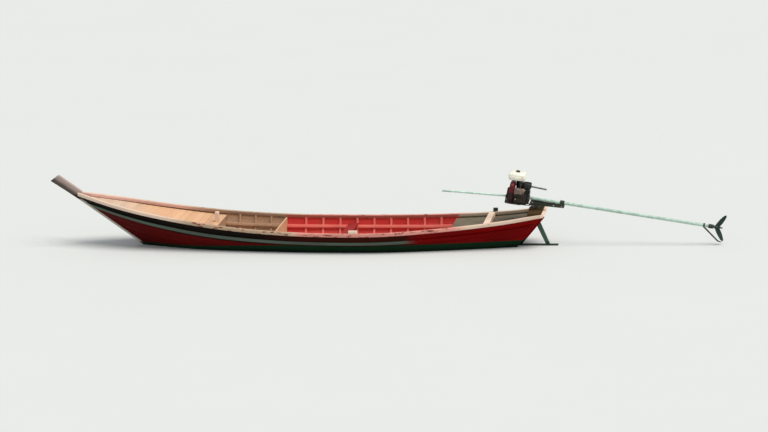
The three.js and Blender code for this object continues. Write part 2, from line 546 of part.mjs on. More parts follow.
const filler = (r, from, to, rTo) => rod([CAP.x, 0, from], [CAP.x, 0, to], r, 20, rTo);
const tankTop = TANK.z[1];
add("fuel_tank", cut(roundedOf(TANK, 4), hollowOf(TANK), filler(CAP.neck, tankTop - 10, tankTop + 10)),
  FINISH.tankWhite, tail);
add("filler_cap", filler(CAP.r, tankTop + SEAT, tankTop + CAP.high, CAP.r - 3), FINISH.black, tail);
add("muffler", cut(join(roundedOf(MUFFLER), blockOf(MUFFLER_NECK)),
  leaning(box([-200, 200], [60, 300], [-100, FINS.reach + SEAT]))), FINISH.black, tail);
add("exhaust_pipe", rod(EXHAUST.from, EXHAUST.to, EXHAUST.r, 14), FINISH.darkSteel, tail);
add("air_cleaner", join(roundedOf(AIR_BOX), blockOf(AIR_DUCT)), FINISH.black, tail);
add("drive_housing", join(
  roundedOf(DRIVE),
  rod([DRIVE.x[0] - 7, 0, AXIS_Z], [DRIVE.x[0] + 6, 0, AXIS_Z], DRIVE.boss, 20),
  blockOf(SILENCER_ARM)), FINISH.black, tail);

// Tail tube with its bearing, the guard and the propeller
const BEARING = { front: -2930, rear: -3025, r: 36, mouth: 30, bore: 12.5 };
add("tail_tube", cut(
  join(rod(onAxis(TUBE.front - 7), onAxis(TUBE.rear), TUBE.r),
    rod(onAxis(BEARING.front), onAxis(BEARING.rear), BEARING.r, 20, BEARING.mouth)),
  rod(onAxis(TUBE.front), onAxis(TUBE.rear), TUBE.r - SHEET),
  rod(onAxis(BEARING.front), onAxis(BEARING.rear - 10), BEARING.bore, 24)),
FINISH.galvanised, tail);
const GUARD = { collar: [-2842, -2872], r: 37, half: 7 };
const GUARD_SIDE = [ // along the shaft and from it
  [-2842, -32], [-2884, -32], [-3128, -222], [-3182, -239], [-3186, -250], [-3114, -241],
];
add("prop_guard", join(
  cut(rod(...GUARD.collar.map(onAxis), GUARD.r, 20), rod(onAxis(-2830), onAxis(-2890), TUBE.r + SEAT)),
  sidePlate(GUARD_SIDE.map(([x, z]) => [x, AXIS_Z + z]), [-GUARD.half, GUARD.half])),
FINISH.galvanised, tail);

function blade(turn) {
  const spans = [0.08, 0.3, 0.55, 0.8, 1]; // parts of the tip's radius
  const g = bent(spans, [-1, 0, 1], [-1, 1], (span, edge, face) => {
    const r = span * PROP.tip;
    const halfChord = PROP.chord * (0.62 + 0.9 * span - 1.05 * span ** 2) * 0.5;
    const pitch = THREE.MathUtils.degToRad(62 - 24 * span); // from the disc's plane
    const bulge = face * PROP.thick * 0.5 * (1 - 0.72 * Math.abs(edge)) * (1.15 - 0.75 * span);
    return [
      -PROP.rake * r - edge * halfChord * Math.sin(pitch) + bulge * Math.cos(pitch),
      edge * halfChord * Math.cos(pitch) + bulge * Math.sin(pitch), r];
  });
  return g.rotateX(turn).translate(...onAxis(PROP.x));
}
add("propeller", join(
  rod(onAxis(PROP.x + PROP.half), onAxis(PROP.x - PROP.half - 20), PROP.hub, 20, 22),
  rod(onAxis(PROP.x - PROP.half), onAxis(PROP.x - PROP.half - 42), PROP.shaft, 12),
  rod(onAxis(BEARING.rear + 44), onAxis(PROP.x), PROP.shaft, 24),
  blade(0), blade(Math.PI)), FINISH.darkSteel, tail);

// Steering handle
const HANDLE = { r: 16, from: [FRAME.front + 12, 0, 42], to: [1470, 0, -28] };
const handleSlope = (HANDLE.to[2] - HANDLE.from[2]) / (HANDLE.to[0] - HANDLE.from[0]);
const onHandle = (x) => [x, 0, HANDLE.from[2] + handleSlope * (x - HANDLE.from[0])];
add("handle_pole", cut(rod(HANDLE.from, HANDLE.to, HANDLE.r, 14),
  rod(onHandle(HANDLE.from[0] - 5), onHandle(HANDLE.to[0] + 5), HANDLE.r - SHEET, 14)),
FINISH.galvanised, tail);
const GRIP = { x: [1470.6, 1618], r: 20, end: 18 };
add("handle_grip", rod(...GRIP.x.map(onHandle), GRIP.r, 14, GRIP.end), FINISH.rubber, tail);

export default root;
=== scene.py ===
"""A wooden longtail fishing boat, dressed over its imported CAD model.

The hull, decks, frames and engine are built as meshes in metres, in the CAD model's own frame: +X to
the bow, +Y to port, +Z up, with z = 0 at the waterline. Each piece rides on a body of the CAD model.
"""
import math
from functools import cache
from itertools import pairwise, product
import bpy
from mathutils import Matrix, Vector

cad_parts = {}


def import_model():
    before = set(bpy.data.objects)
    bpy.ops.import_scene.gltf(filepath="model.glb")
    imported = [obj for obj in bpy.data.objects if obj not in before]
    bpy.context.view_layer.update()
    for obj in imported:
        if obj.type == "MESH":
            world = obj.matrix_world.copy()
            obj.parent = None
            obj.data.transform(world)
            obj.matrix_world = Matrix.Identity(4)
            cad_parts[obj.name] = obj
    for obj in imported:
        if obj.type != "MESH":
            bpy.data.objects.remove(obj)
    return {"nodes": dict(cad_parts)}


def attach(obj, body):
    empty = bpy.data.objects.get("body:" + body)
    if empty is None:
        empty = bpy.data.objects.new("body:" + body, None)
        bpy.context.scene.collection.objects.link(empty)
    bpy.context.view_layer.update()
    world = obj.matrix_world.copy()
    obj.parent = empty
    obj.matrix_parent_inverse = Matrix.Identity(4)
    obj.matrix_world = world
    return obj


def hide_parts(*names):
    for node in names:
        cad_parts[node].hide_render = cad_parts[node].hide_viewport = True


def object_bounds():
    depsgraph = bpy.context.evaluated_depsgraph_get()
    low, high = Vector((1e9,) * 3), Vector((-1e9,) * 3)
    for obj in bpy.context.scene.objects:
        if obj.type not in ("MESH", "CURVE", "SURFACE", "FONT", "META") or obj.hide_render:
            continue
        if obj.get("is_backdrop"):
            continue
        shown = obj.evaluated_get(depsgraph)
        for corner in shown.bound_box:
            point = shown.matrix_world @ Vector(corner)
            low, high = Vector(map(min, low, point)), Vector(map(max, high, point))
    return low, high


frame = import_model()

from types import SimpleNamespace

import bmesh
import bpy
from bpy.props import FloatProperty, FloatVectorProperty, PointerProperty
from mathutils import Matrix, Vector

CAD_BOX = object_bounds()

bl_info = {
    "name": "Longtail boat",
    "version": (1, 0, 0),
    "blender": (4, 5, 0),
    "location": "3D View > Sidebar > Longtail",
    "description": "Builds a wooden longtail boat with its engine and finishes",
    "category": "Object",
}

# Hull, in metres. Each station: x, sheer_z and breadth place the planking's top edge, keel_x, keel_z
# and keel_y its foot on the keel or stem, and full is 0 for a straight V section, 1 for a square one.
STATION_NAMES = ("x", "sheer_z", "breadth", "keel_x", "keel_z", "keel_y", "full")
STATIONS = [dict(zip(STATION_NAMES, row)) for row in (
    (-3.690, 0.540, 0.330, -3.060, -0.200, 0.0385, 0.45),
    (-3.000, 0.440, 0.440, -2.640, -0.238, 0.0385, 0.55),
    (-2.000, 0.352, 0.597, -1.970, -0.270, 0.0385, 0.66),
    (-1.000, 0.302, 0.735, -1.000, -0.270, 0.0385, 0.72),
    (0.000, 0.300, 0.750, 0.000, -0.270, 0.0385, 0.72),
    (1.000, 0.335, 0.695, 1.000, -0.270, 0.0385, 0.70),
    (2.000, 0.425, 0.605, 1.960, -0.270, 0.0385, 0.62),
    (3.000, 0.575, 0.480, 2.450, -0.256, 0.0385, 0.42),
    (3.700, 0.712, 0.335, 2.720, -0.244, 0.0420, 0.20),
    (4.400, 0.868, 0.064, 2.880, -0.240, 0.0640, 0.00),
)]
AFT, FORE = -3.690, 4.400
PLANK = 0.025
SEAT = 0.0005
KEEL_HALF = 0.038
FLOOR_UNDER = -0.1105
BULKHEADS = SimpleNamespace(aft=-2.150, mid=0.880, fore=1.950)
HOLD_RIBS = [-1.860 + 0.300 * i for i in range(9)]
WELL_RIBS = [1.150 + 0.270 * i for i in range(3)]
NAILED = (-3.671, -3.3, -2.95, -2.6, -2.3, BULKHEADS.aft, *HOLD_RIBS, BULKHEADS.mid, *WELL_RIBS,
          BULKHEADS.fore, 2.25, 2.55, 2.85, 3.15, 3.45, 3.75, 4.05)
SIDES = {"port": 1, "starboard": -1}

# Timbers: rows run from 0 at the keel to 1 at the sheer, depths are into the hull from its outside
STRAKE_EDGES = (0, 0.19, 0.37, 0.54, 0.68, 0.81, 0.9)
RAIL = SimpleNamespace(across=(-0.045, 0.020), up=(SEAT, 0.060), aft=-3.6395)
RUB = SimpleNamespace(rows=(0.845, 0.9), depths=(-0.022, -0.0005), aft=-3.6, fore=4.33)
STRINGER = SimpleNamespace(rows=(0.8, 0.865), depths=(0.056, 0.079), gap=0.0115)
RIB = SimpleNamespace(along=(-0.018, 0.018), depths=(PLANK + SEAT, 0.055))
KEELSON = SimpleNamespace(across=(-0.03, 0.03), up=(0.03, 0.12), past=0.06)
DECK = SimpleNamespace(rows=(0.955, 0.975), aft=-3.651, fore=4.268, lap=0.025)

# Engine and tail: x along the shaft to the front, z square to it, from the tilt pin
PIVOT = Vector((-3.560, 0, 0.728))
TAIL_ANGLE = math.radians(9.15)
TAIL = Matrix.Translation(PIVOT) @ Matrix.Rotation(-TAIL_ANGLE, 4, "Y")
AXIS = 0.068
CRANK = AXIS + 0.024
FOOT = AXIS - 0.106
AHEAD, BACK, TO_PORT, TO_STARBOARD, UP = (1, 0, 0), (-1, 0, 0), (0, 1, 0), (0, -1, 0), (0, 0, 1)


# Shader nodes
def math_node(operation):
    """Two methods that add a Math node: for a value before the sign, and for one after it."""
    def before(self, other):
        return self.maths(operation, self, other)

    def after(self, other):
        return self.maths(operation, other, self)
    return before, after


class Value:
    """A socket of a finish. Sums, products and quotients of values add Math nodes."""

    def __init__(self, finish, socket):
        self.finish = finish
        self.socket = socket

    def maths(self, operation, *terms):
        return self.finish.node("ShaderNodeMath", {"operation": operation}, dict(enumerate(terms)))

    __add__, __radd__ = math_node("ADD")
    __sub__, __rsub__ = math_node("SUBTRACT")
    __mul__, __rmul__ = math_node("MULTIPLY")
    __truediv__, __rtruediv__ = math_node("DIVIDE")

    def step(self, low, high):
        """0 at low and 1 at high, with a smooth change between them. low may be the greater."""
        rising = high > low
        inputs = {0: self, 1: min(low, high), 2: max(low, high), 3: float(not rising), 4: float(rising)}
        return self.finish.node("ShaderNodeMapRange", {"interpolation_type": "SMOOTHSTEP"}, inputs)

    def fract(self):
        return self.maths("FRACT", self)

    def floor(self):
        return self.maths("FLOOR", self)

    def most(self, other):
        return self.maths("MAXIMUM", self, other)


class Finish:
    """One material: its nodes are added through here."""

    def __init__(self, name, constants=None):
        self.hull = bpy.context.scene.longtail_hull
        self.engine = bpy.context.scene.longtail_engine
        self.material = bpy.data.materials.new(name)
        self.material.use_nodes = True
        self.tree = self.material.node_tree
        self.shader = self.tree.nodes["Principled BSDF"]
        self.feed(self.shader, constants or {})
        self.place = self.node("ShaderNodeTexCoord", out="Object")
        split = self.node("ShaderNodeSeparateXYZ", inputs={0: self.place}).socket.node
        self.x, _, self.z = (Value(self, socket) for socket in split.outputs)

    def feed(self, node, inputs):
        """Links a node's sockets to values, or gives them numbers. None leaves one as it is."""
        for key, given in inputs.items():
            if isinstance(given, Value):
                self.tree.links.new(given.socket, node.inputs[key])
            elif given is not None:
                node.inputs[key].default_value = given

    def node(self, kind, settings=None, inputs=None, out=0):
        """A node with its settings made first, then its sockets given numbers or values."""
        node = self.tree.nodes.new(kind)
        for key, setting in (settings or {}).items():
            setattr(node, key, setting)
        self.feed(node, inputs or {})
        return Value(self, node.outputs[out])

    def noise(self, scale, stretch=(1, 1, 1), detail=3, rough=0.55, shift=0):
        """Cloudy grey of 0 to 1, stretched along the axes with small numbers."""
        spread = self.node("ShaderNodeVectorMath", {"operation": "MULTIPLY_ADD"},
                           {0: self.place, 1: stretch, 2: (shift, shift * 0.7, shift * 0.4)})
        return self.node("ShaderNodeTexNoise", inputs={
            "Vector": spread, "Scale": scale, "Detail": detail, "Roughness": rough})

    def mix(self, mask, below, above, blend="MIX"):
        """The colour below, covered with the one above where the mask is 1."""
        colours = {key: given if isinstance(given, Value) else (*given, 1)
                   for key, given in ((6, below), (7, above))}
        return self.node("ShaderNodeMix", {"data_type": "RGBA", "blend_type": blend},
                         {0: mask, **colours}, out=2)

    def shade(self, colour, light):
        """A colour made lighter or darker by a value around 1."""
        if not isinstance(colour, Value):
            colour = self.mix(1.0, (0, 0, 0), colour)
        grey = self.node("ShaderNodeCombineColor", inputs={0: light, 1: light, 2: light})
        return self.mix(1.0, colour, grey, "MULTIPLY")

    def finish(self, colour, rough, height=None, depth=0.001, metal=None):
        """Feeds the shader and gives the material."""
        bump = height and self.node("ShaderNodeBump", inputs={
            "Height": height, "Distance": depth, "Strength": 0.6})
        self.feed(self.shader, {
            "Base Color": colour, "Roughness": rough, "Metallic": metal, "Normal": bump})
        return self.material


def drawn_out(along, share):
    """The stretch of a noise whose spots run along one axis."""
    return tuple(share if axis == along else 1 for axis in "xyz")


def grain_of(f, along):
    """Wood grain: streaks that run along an axis, as a value of 0 to 1."""
    stretch = drawn_out(along, 0.05)
    streaks = f.noise(150, stretch, detail=4, rough=0.6)
    fine = f.noise(420, stretch, detail=2, shift=3)
    return 0.65 * streaks + 0.35 * fine


def worn_paint(f, paint, faded, under, along="x", wear=0.4, rough=0.6, chips=None):
    """Brushed paint on wood: faded in clouds, dirty in the grain, chipped down to what is under it."""
    stretch = drawn_out(along, 0.3)
    grain = grain_of(f, along)
    clouds = f.noise(2.2, stretch, detail=4, shift=1)
    colour = f.mix(clouds.step(0.38, 0.68) * 0.75, paint, faded)
    dirt = f.noise(7, stretch, detail=5, rough=0.7, shift=5).step(0.52, 0.78)
    colour = f.shade(colour, 1.04 - 0.16 * grain - 0.22 * dirt)
    spots = f.noise(26, stretch, detail=5, rough=0.65, shift=9)
    edge = 0.78 - 0.3 * wear
    amount = spots + (chips or 0.12 * (clouds - 0.5))
    bare = amount.step(edge - 0.008, edge + 0.012)
    colour = f.mix(bare, colour, f.mix(grain, times(under, 0.6), under))
    height = 1 - bare - 0.28 * grain
    return f.finish(colour, rough + 0.12 * dirt + 0.3 * bare, height, depth=0.0012)


def bare_wood(f, light, dark, along="x", rough=0.75):
    """Unpainted timber: streaky grain, faint rings and dark stains."""
    grain = grain_of(f, along)
    rings = (f.noise(9, drawn_out(along, 0.2), detail=2, shift=2) * 9).fract().step(0.1, 0.9)
    colour = f.mix(grain * 0.7 + 0.25 * rings, dark, light)
    stain = f.noise(3.5, detail=5, rough=0.65, shift=4).step(0.5, 0.75)
    colour = f.shade(colour, 1.05 - 0.32 * stain)
    return f.finish(colour, rough + 0.12 * grain - 0.1 * stain, grain + 0.4 * rings, depth=0.0015)


def painted_steel(f, paint, chip, wear, rough):
    """Paint on metal: small chips, scratches and a film of dust and oil."""
    clouds = f.noise(9, detail=5, rough=0.6)
    film = f.noise(30, detail=4, shift=4).step(0.45, 0.75)
    colour = f.shade(paint, 1.05 - 0.2 * clouds.step(0.4, 0.7) - 0.25 * film)
    spots = f.noise(70, detail=5, rough=0.7, shift=8)
    bare = spots.step(0.80 - 0.3 * wear, 0.815 - 0.3 * wear)
    scratch = f.noise(90, (0.1, 1, 1), detail=2, shift=12).step(0.70, 0.73)
    colour = f.mix(bare.most(scratch * 0.5), colour, chip)
    height = 1 - bare + 0.15 * f.noise(160, detail=2)
    return f.finish(colour, rough + 0.25 * film + 0.1 * bare, height, depth=0.0004,
                    metal=bare * 0.5)


def bright_metal(f, light, dark, rust, rusting, rough=0.45, metal=0.85):
    """Bare or plated metal: dull clouds, fine scratches along its length and rust in spots."""
    clouds = f.noise(14, detail=5, rough=0.6)
    colour = f.mix(clouds.step(0.35, 0.7), light, dark)
    lines = f.noise(240, (0.06, 1, 1), detail=3, shift=2)
    spots = f.noise(24, (0.5, 1, 1), detail=6, rough=0.7, shift=7)
    rusty = spots.step(0.74 - 0.3 * rusting, 0.82 - 0.3 * rusting)
    colour = f.mix(rusty, f.shade(colour, 0.9 + 0.2 * lines), rust)
    return f.finish(colour, rough + 0.2 * clouds + 0.35 * rusty, lines + 0.6 * rusty, depth=0.0004,
                    metal=metal - (metal - 0.1) * rusty)


def casting(f, pale, grimy):
    """Cast metal: a sandy texture, with grime in patches."""
    grime = f.noise(16, detail=5, rough=0.65, shift=3).step(0.4, 0.7)
    sand = f.noise(320, detail=2, shift=6)
    return f.finish(f.mix(grime * 0.8, pale, grimy), 0.45 + 0.3 * grime, sand - 0.4 * grime,
                    depth=0.0006, metal=0.55 - 0.4 * grime)


# Finishes of the boat
MATT, DULL = 0.12, 0.04
SOCKETS = {"shine": "Specular IOR Level", "coat": "Coat Weight", "coat_rough": "Coat Roughness"}


def finish_for(slot, **constants):
    """Turns a function of a finish into one that makes its material once, and notes its slot.

    The constants are set on the shader's own sockets.
    """
    def wrap(make):
        @cache
        def material():
            return make(Finish(make.__name__, {SOCKETS[key]: n for key, n in constants.items()}))
        material.slot = slot
        return material
    return wrap


def times(colour, *factors):
    """A colour times one factor, or times one each for its red, green and blue."""
    return tuple(min(1, k * c) for k, c in zip(factors * (3 // len(factors)), colour))


def fading_aft(f, fore, aft):
    """A colour that turns into another one aft of the hold's middle, with a ragged change."""
    ragged = f.x + 0.9 * (f.noise(3, (0.5, 1, 1), detail=5, rough=0.7) - 0.5)
    return f.mix(ragged.step(-1.65, -1.35), aft, fore)


@finish_for("hull_red_paint", shine=DULL)
def hull_paint(f):
    """Outside of the planking: red, darker forward, with dark green bottom paint below."""
    top = 0.055 + 0.075 * f.x.step(2.9, 0.6) + 0.012 * f.noise(5, detail=3)
    edge = (f.z - top).step(0.004, -0.004)
    clouds = f.noise(2.5, (0.3, 1, 1), detail=4, shift=3).step(0.4, 0.7)
    red = f.mix(clouds, f.hull.red, times(f.hull.red, 0.62))
    base = f.mix(edge, f.mix(f.x.step(-1.0, 2.2) * 0.5, red, f.hull.black), f.hull.green)
    slime = (f.z - 0.035 - 0.05 * f.noise(11, (0.4, 1, 1), detail=5)).step(0.01, -0.02)
    base = f.mix(slime * 0.7, base, (0.007, 0.014, 0.007))
    return worn_paint(f, base, f.shade(base, 1.35), under=(0.07, 0.045, 0.035), wear=0.14, rough=0.46)


@finish_for("hull_black_paint", shine=DULL)
def sheer_paint(f):
    """The top strake: black forward, the hull's red aft."""
    brown = f.mix(f.x.step(1.4, 0.2) * 0.8, f.hull.black, (0.042, 0.0045, 0.0015))
    base = fading_aft(f, brown, f.hull.red)
    return worn_paint(f, base, f.shade(base, 1.4), under=(0.09, 0.05, 0.035), wear=0.16, rough=0.5)


@finish_for("stripe_paint", shine=DULL)
def stripe_paint(f):
    """The rubbing strake: grey green forward, the hull's red aft."""
    base = fading_aft(f, f.hull.stripe, f.hull.red)
    return worn_paint(f, base, f.shade(base, 0.7), under=(0.09, 0.07, 0.05))


@finish_for("rail_paint", shine=MATT)
def rail_paint(f):
    """Cap rails: cream at the bow, worn tan beside the fore well, pink amidships, cream aft."""
    middle = f.x.step(0.60, 0.40) * f.x.step(-2.50, -2.15)
    tan = f.x.step(2.8, 2.2) * f.x.step(0.45, 0.65)
    worn = f.x.step(2.9, 2.2) * f.x.step(-2.6, -1.9)
    base = f.mix(tan * 0.8, f.mix(middle, f.hull.cream, f.hull.pink), (0.46, 0.32, 0.20))
    chips = 0.11 * worn - 0.06 + 0.05 * f.noise(2.5, detail=2, shift=20)
    return worn_paint(f, base, f.shade(base, 0.84), under=(0.30, 0.07, 0.05), wear=0.42, chips=chips)


@finish_for("rail_paint", shine=MATT)
def inner_rail_paint_and_shade(f):
    """The rails' inner faces, their colours part paint and part painted shade: dusty pink by the
    foredeck, then like the inside of each space.
    """
    # The bow's dusty pink stands partly for painted shade on the inner faces.
    bow = f.mix(f.x.step(2.9, 2.1), (0.90, 0.56, 0.49), (0.44, 0.28, 0.19))
    fore = f.mix(f.x.step(0.95, 0.85), bow, (0.44, 0.13, 0.10))
    base = f.mix(f.x.step(-2.13, -2.20), fore, (0.55, 0.46, 0.36))
    return worn_paint(f, base, f.shade(base, 0.8), under=(0.26, 0.12, 0.08), rough=0.62)


@finish_for("rail_paint", shine=MATT)
def cream_paint(f):
    """Posts, blocks and beams: thick cream paint, less worn than the rails."""
    base = times(f.hull.cream, 1.22)
    return worn_paint(f, base, times(base, 0.85), under=(0.26, 0.16, 0.11), wear=0.3)


@finish_for("rail_paint", shine=MATT)
def stem_paint(f):
    """Stem: dark sides, cream along the front edge and a head dark below, pinkish grey on top as a
    painted highlight.
    """
    cloud = f.noise(9, detail=4)
    behind_front = 0.5865 * (f.x - 2.909) - 0.81 * (f.z + 0.272)
    line = (behind_front + 0.008 * cloud).step(-0.036, -0.030)
    side = f.mix((f.z - 0.05).step(-0.01, 0.01), f.hull.green, f.hull.black)
    above_head = 0.814 * (f.z - 0.945) - 0.581 * (f.x - 4.345)
    # Lighter towards the head's top: a painted highlight.
    head_highlight = (above_head + 0.03 * cloud).step(-0.100, -0.015)
    head = f.mix(head_highlight, (0.100, 0.078, 0.064), (0.47, 0.365, 0.325))
    base = f.mix((f.z + 0.02 * cloud).step(0.86, 0.92), side, head)
    painted = (f.z - 0.06).step(-0.02, 0.02) * f.z.step(0.84, 0.78)
    base = f.mix(line * painted, base, (0.56, 0.49, 0.42))
    return worn_paint(f, base, f.shade(base, 0.8), under=(0.14, 0.10, 0.08), wear=0.25)


@finish_for("peach_paint", shine=MATT)
def deck_paint(f):
    """Peach paint on the middle bulkhead and the foredeck, whose boards differ a little in tone."""
    ragged = f.x + 0.5 * (f.noise(4, detail=4) - 0.5)
    base = f.mix(0.85 * ragged.step(3.0, 3.7), f.hull.peach, (0.70, 0.52, 0.40))
    ends = foredeck_ends()
    board = ((f.x - ends[0]) / (ends[1] - ends[0])).floor()
    tone = f.node("ShaderNodeTexWhiteNoise", {"noise_dimensions": "1D"}, {"W": board})
    base = f.shade(base, 0.92 + 0.14 * tone)
    return worn_paint(f, base, f.shade(base, 0.86), under=(0.42, 0.27, 0.17), along="y", wear=0.34,
                      rough=0.66)


@finish_for("hold_red_paint", shine=MATT)
def hold_paint(f):
    """Red paint inside the hold."""
    faded = times(f.hull.hold, 1.15, 2.0, 2.0)
    return worn_paint(f, f.hull.hold, faded, under=(0.34, 0.12, 0.08), wear=0.34, rough=0.56)


@finish_for("hold_red_paint", shine=MATT)
def frame_paint_and_highlight(f):
    """Ribs and stringers in the hold: the hold's red made pale pink, part faded paint and part a
    painted highlight.
    """
    # A paler copy of the hold red: fading, and a painted highlight.
    pale = times(f.hull.hold, 1.3, 4.4, 4.0)
    return worn_paint(f, pale, f.mix(0.35, pale, f.hull.hold), under=(0.42, 0.22, 0.16), along="z",
                      wear=0.36)


@finish_for("hold_red_paint", shine=MATT)
def thwart_paint(f):
    """Thwart: the hold's red at half its brightness."""
    base = times(f.hull.hold, 0.5)
    return worn_paint(f, base, times(base, 0.6), under=(0.12, 0.06, 0.04), along="y")


@finish_for("bare_wood")
def tan_wood(f):
    """Wood inside the fore well and on the floors."""
    return bare_wood(f, f.hull.wood, times(f.hull.wood, 0.42))


@finish_for("bare_wood", shine=MATT)
def dark_wood(f):
    """Oily timber under the engine."""
    base = (0.095, 0.055, 0.020)
    return bare_wood(f, base, times(base, 0.4), along="y")


@finish_for("grey_wood")
def grey_wood(f):
    """Weathered boards of the stern deck, the planking's inside under the decks and a bulkhead."""
    return bare_wood(f, f.hull.grey, times(f.hull.grey, 0.4), rough=0.82)


@finish_for("grey_wood", shine=DULL)
def wet_wood(f):
    """Squat board and strut: green, with slime low down."""
    slime = (f.z + 0.06 * f.noise(9, detail=4)).step(0.14, 0.02)
    base = f.mix(slime * 0.7, (0.080, 0.135, 0.105), f.hull.green)
    return worn_paint(f, base, f.shade(base, 0.7), under=(0.10, 0.08, 0.06), along="z", wear=0.3)


@finish_for("hull_red_paint")
def nail_iron(f):
    """Heads of the planking nails, rusty under thin paint."""
    return painted_steel(f, (0.05, 0.018, 0.012), chip=(0.16, 0.055, 0.02), wear=0.6, rough=0.6)


@finish_for("dark_steel", shine=0.4)
def dark_steel(f):
    """Frame, fork, socket, bitt and the tube's bearing."""
    return painted_steel(f, f.engine.frame, chip=(0.16, 0.07, 0.035), wear=0.5, rough=0.48)


@finish_for("galvanised_steel", shine=0.3)
def mint_paint(f):
    """Steering pole: pale mint paint, rubbed through here and there."""
    return painted_steel(f, f.engine.mint, chip=(0.20, 0.20, 0.16), wear=0.4, rough=0.45)


@finish_for("engine_red_paint", shine=0.2)
def shroud_paint(f):
    """Crimson paint of the fan shroud and starter cover, near black at its foot: painted shade, and
    oil.
    """
    # Darker towards the foot: painted shade, with oil.
    shade_and_oil = (f.z + 0.05 * f.noise(12, detail=4)).step(1.01, 0.94)
    base = f.mix(shade_and_oil * 0.85, f.engine.shroud, (0.014, 0.009, 0.007))
    return painted_steel(f, base, chip=(0.20, 0.19, 0.18), wear=0.3, rough=0.34)


@finish_for("tank_white_paint", coat=0.35, coat_rough=0.2)
def tank_paint(f):
    """Cream paint of the fuel tank, with fuel stains and small rust spots."""
    return painted_steel(f, f.engine.tank, chip=(0.28, 0.12, 0.05), wear=0.22, rough=0.36)


@finish_for("black_steel")
def sooty_black(f):
    """Heat-proof black paint of silencer and housings, rusting through."""
    return painted_steel(f, (0.012, 0.011, 0.010), chip=(0.14, 0.05, 0.022), wear=0.6, rough=0.62)


@finish_for("engine_alloy")
def cast_alloy(f):
    """Cylinder and its head, near black below: painted shade under the fins, and oil."""
    # Darker towards the bottom: painted shade under the fins, with oil.
    shade_and_oil = (f.z + 0.03 * f.noise(30, detail=4)).step(0.975, 0.925)
    pale = f.mix(0.88 * shade_and_oil, f.engine.alloy, (0.016, 0.012, 0.009))
    return casting(f, pale, f.mix(shade_and_oil, (0.08, 0.05, 0.04), (0.012, 0.009, 0.007)))


@finish_for("engine_alloy")
def oily_casting(f):
    """Crankcase, dark with oil."""
    return casting(f, times(f.engine.alloy, 0.2), (0.014, 0.011, 0.009))


@finish_for("black_plastic", shine=0.45)
def black_plastic(f):
    """Moulded black plastic with a fine texture."""
    sand = f.noise(520, detail=2)
    dust = f.noise(18, detail=5, rough=0.6, shift=3).step(0.45, 0.75)
    colour = f.mix(dust * 0.5, (0.010, 0.010, 0.011), (0.05, 0.046, 0.04))
    return f.finish(colour, 0.42 + 0.3 * dust + 0.08 * sand, sand, depth=0.0003)


@finish_for("grip_rubber", shine=0.3)
def grip_rubber(f):
    """Pale rubber of the hand grip, greyed by use."""
    fine = f.noise(300, detail=2)
    dust = f.noise(30, detail=5, shift=3).step(0.4, 0.7)
    colour = f.mix(dust * 0.6, times(f.engine.mint, 0.9), times(f.engine.mint, 0.5))
    return f.finish(colour, 0.7 + 0.2 * dust, fine, depth=0.0004)


@finish_for("galvanised_steel")
def pipe_metal(f):
    """Galvanised tail tube."""
    return bright_metal(f, f.engine.pipe, times(f.engine.pipe, 0.7), rust=(0.20, 0.085, 0.03),
                        rusting=0.18, metal=0.25)


@finish_for("engine_alloy")
def zinc(f):
    """Zinc-plated bolts, screws and fuel tap."""
    return bright_metal(f, (0.55, 0.52, 0.45), (0.30, 0.28, 0.24), rust=(0.20, 0.07, 0.025),
                        rusting=0.5, rough=0.35)


@finish_for("dark_steel")
def blade_metal(f):
    """Propeller: dark green metal with a little rust."""
    return bright_metal(f, (0.022, 0.050, 0.036), (0.007, 0.026, 0.018), rust=(0.06, 0.045, 0.03),
                        rusting=0.25, metal=0.3)


@finish_for("galvanised_steel")
def guard_metal(f):
    """Guard under the propeller: dark, with brownish scale."""
    return bright_metal(f, (0.070, 0.075, 0.055), (0.030, 0.036, 0.026), rust=(0.13, 0.07, 0.035),
                        rusting=0.4, rough=0.5, metal=0.2)


@finish_for("black_steel")
def dull_steel(f):
    """Exhaust pipe: grey, browned by heat."""
    return bright_metal(f, (0.20, 0.205, 0.215), (0.115, 0.11, 0.105), rust=(0.13, 0.07, 0.045),
                        rusting=0.35, metal=0.35)


# The hull's surface
@cache
def station(x):
    """The hull's sizes at x: the stations joined by a smooth curve."""
    last = len(STATIONS) - 2
    i = max(0, min(last, sum(s["x"] <= x for s in STATIONS) - 1))
    a, b = STATIONS[i], STATIONS[i + 1]
    before, after = STATIONS[max(0, i - 1)], STATIONS[min(last + 1, i + 2)]
    h = b["x"] - a["x"]
    f = (x - a["x"]) / h
    made = {}
    for key in STATION_NAMES:
        slope_a = (b[key] - before[key]) / (b["x"] - before["x"])
        slope_b = (after[key] - a[key]) / (after["x"] - a["x"])
        made[key] = (a[key] * (2 * f ** 3 - 3 * f ** 2 + 1) + b[key] * (3 * f ** 2 - 2 * f ** 3)
                     + h * slope_a * (f ** 3 - 2 * f ** 2 + f) + h * slope_b * (f ** 3 - f ** 2))
    return SimpleNamespace(**made)


def outside(x, t):
    """The outside of the port planking: x along the hull, t from 0 at the keel to 1 at the sheer."""
    s = station(x)
    middle = (s.keel_y + s.breadth) / 2
    bilge = middle + (s.breadth - middle) * s.full
    y = (1 - t) ** 2 * s.keel_y + 2 * t * (1 - t) * bilge + t ** 2 * s.breadth
    rise = t * (1 - t) * (1 - s.full) + t ** 2
    return Vector((s.keel_x + (s.x - s.keel_x) * rise, y, s.keel_z + (s.sheer_z - s.keel_z) * rise))


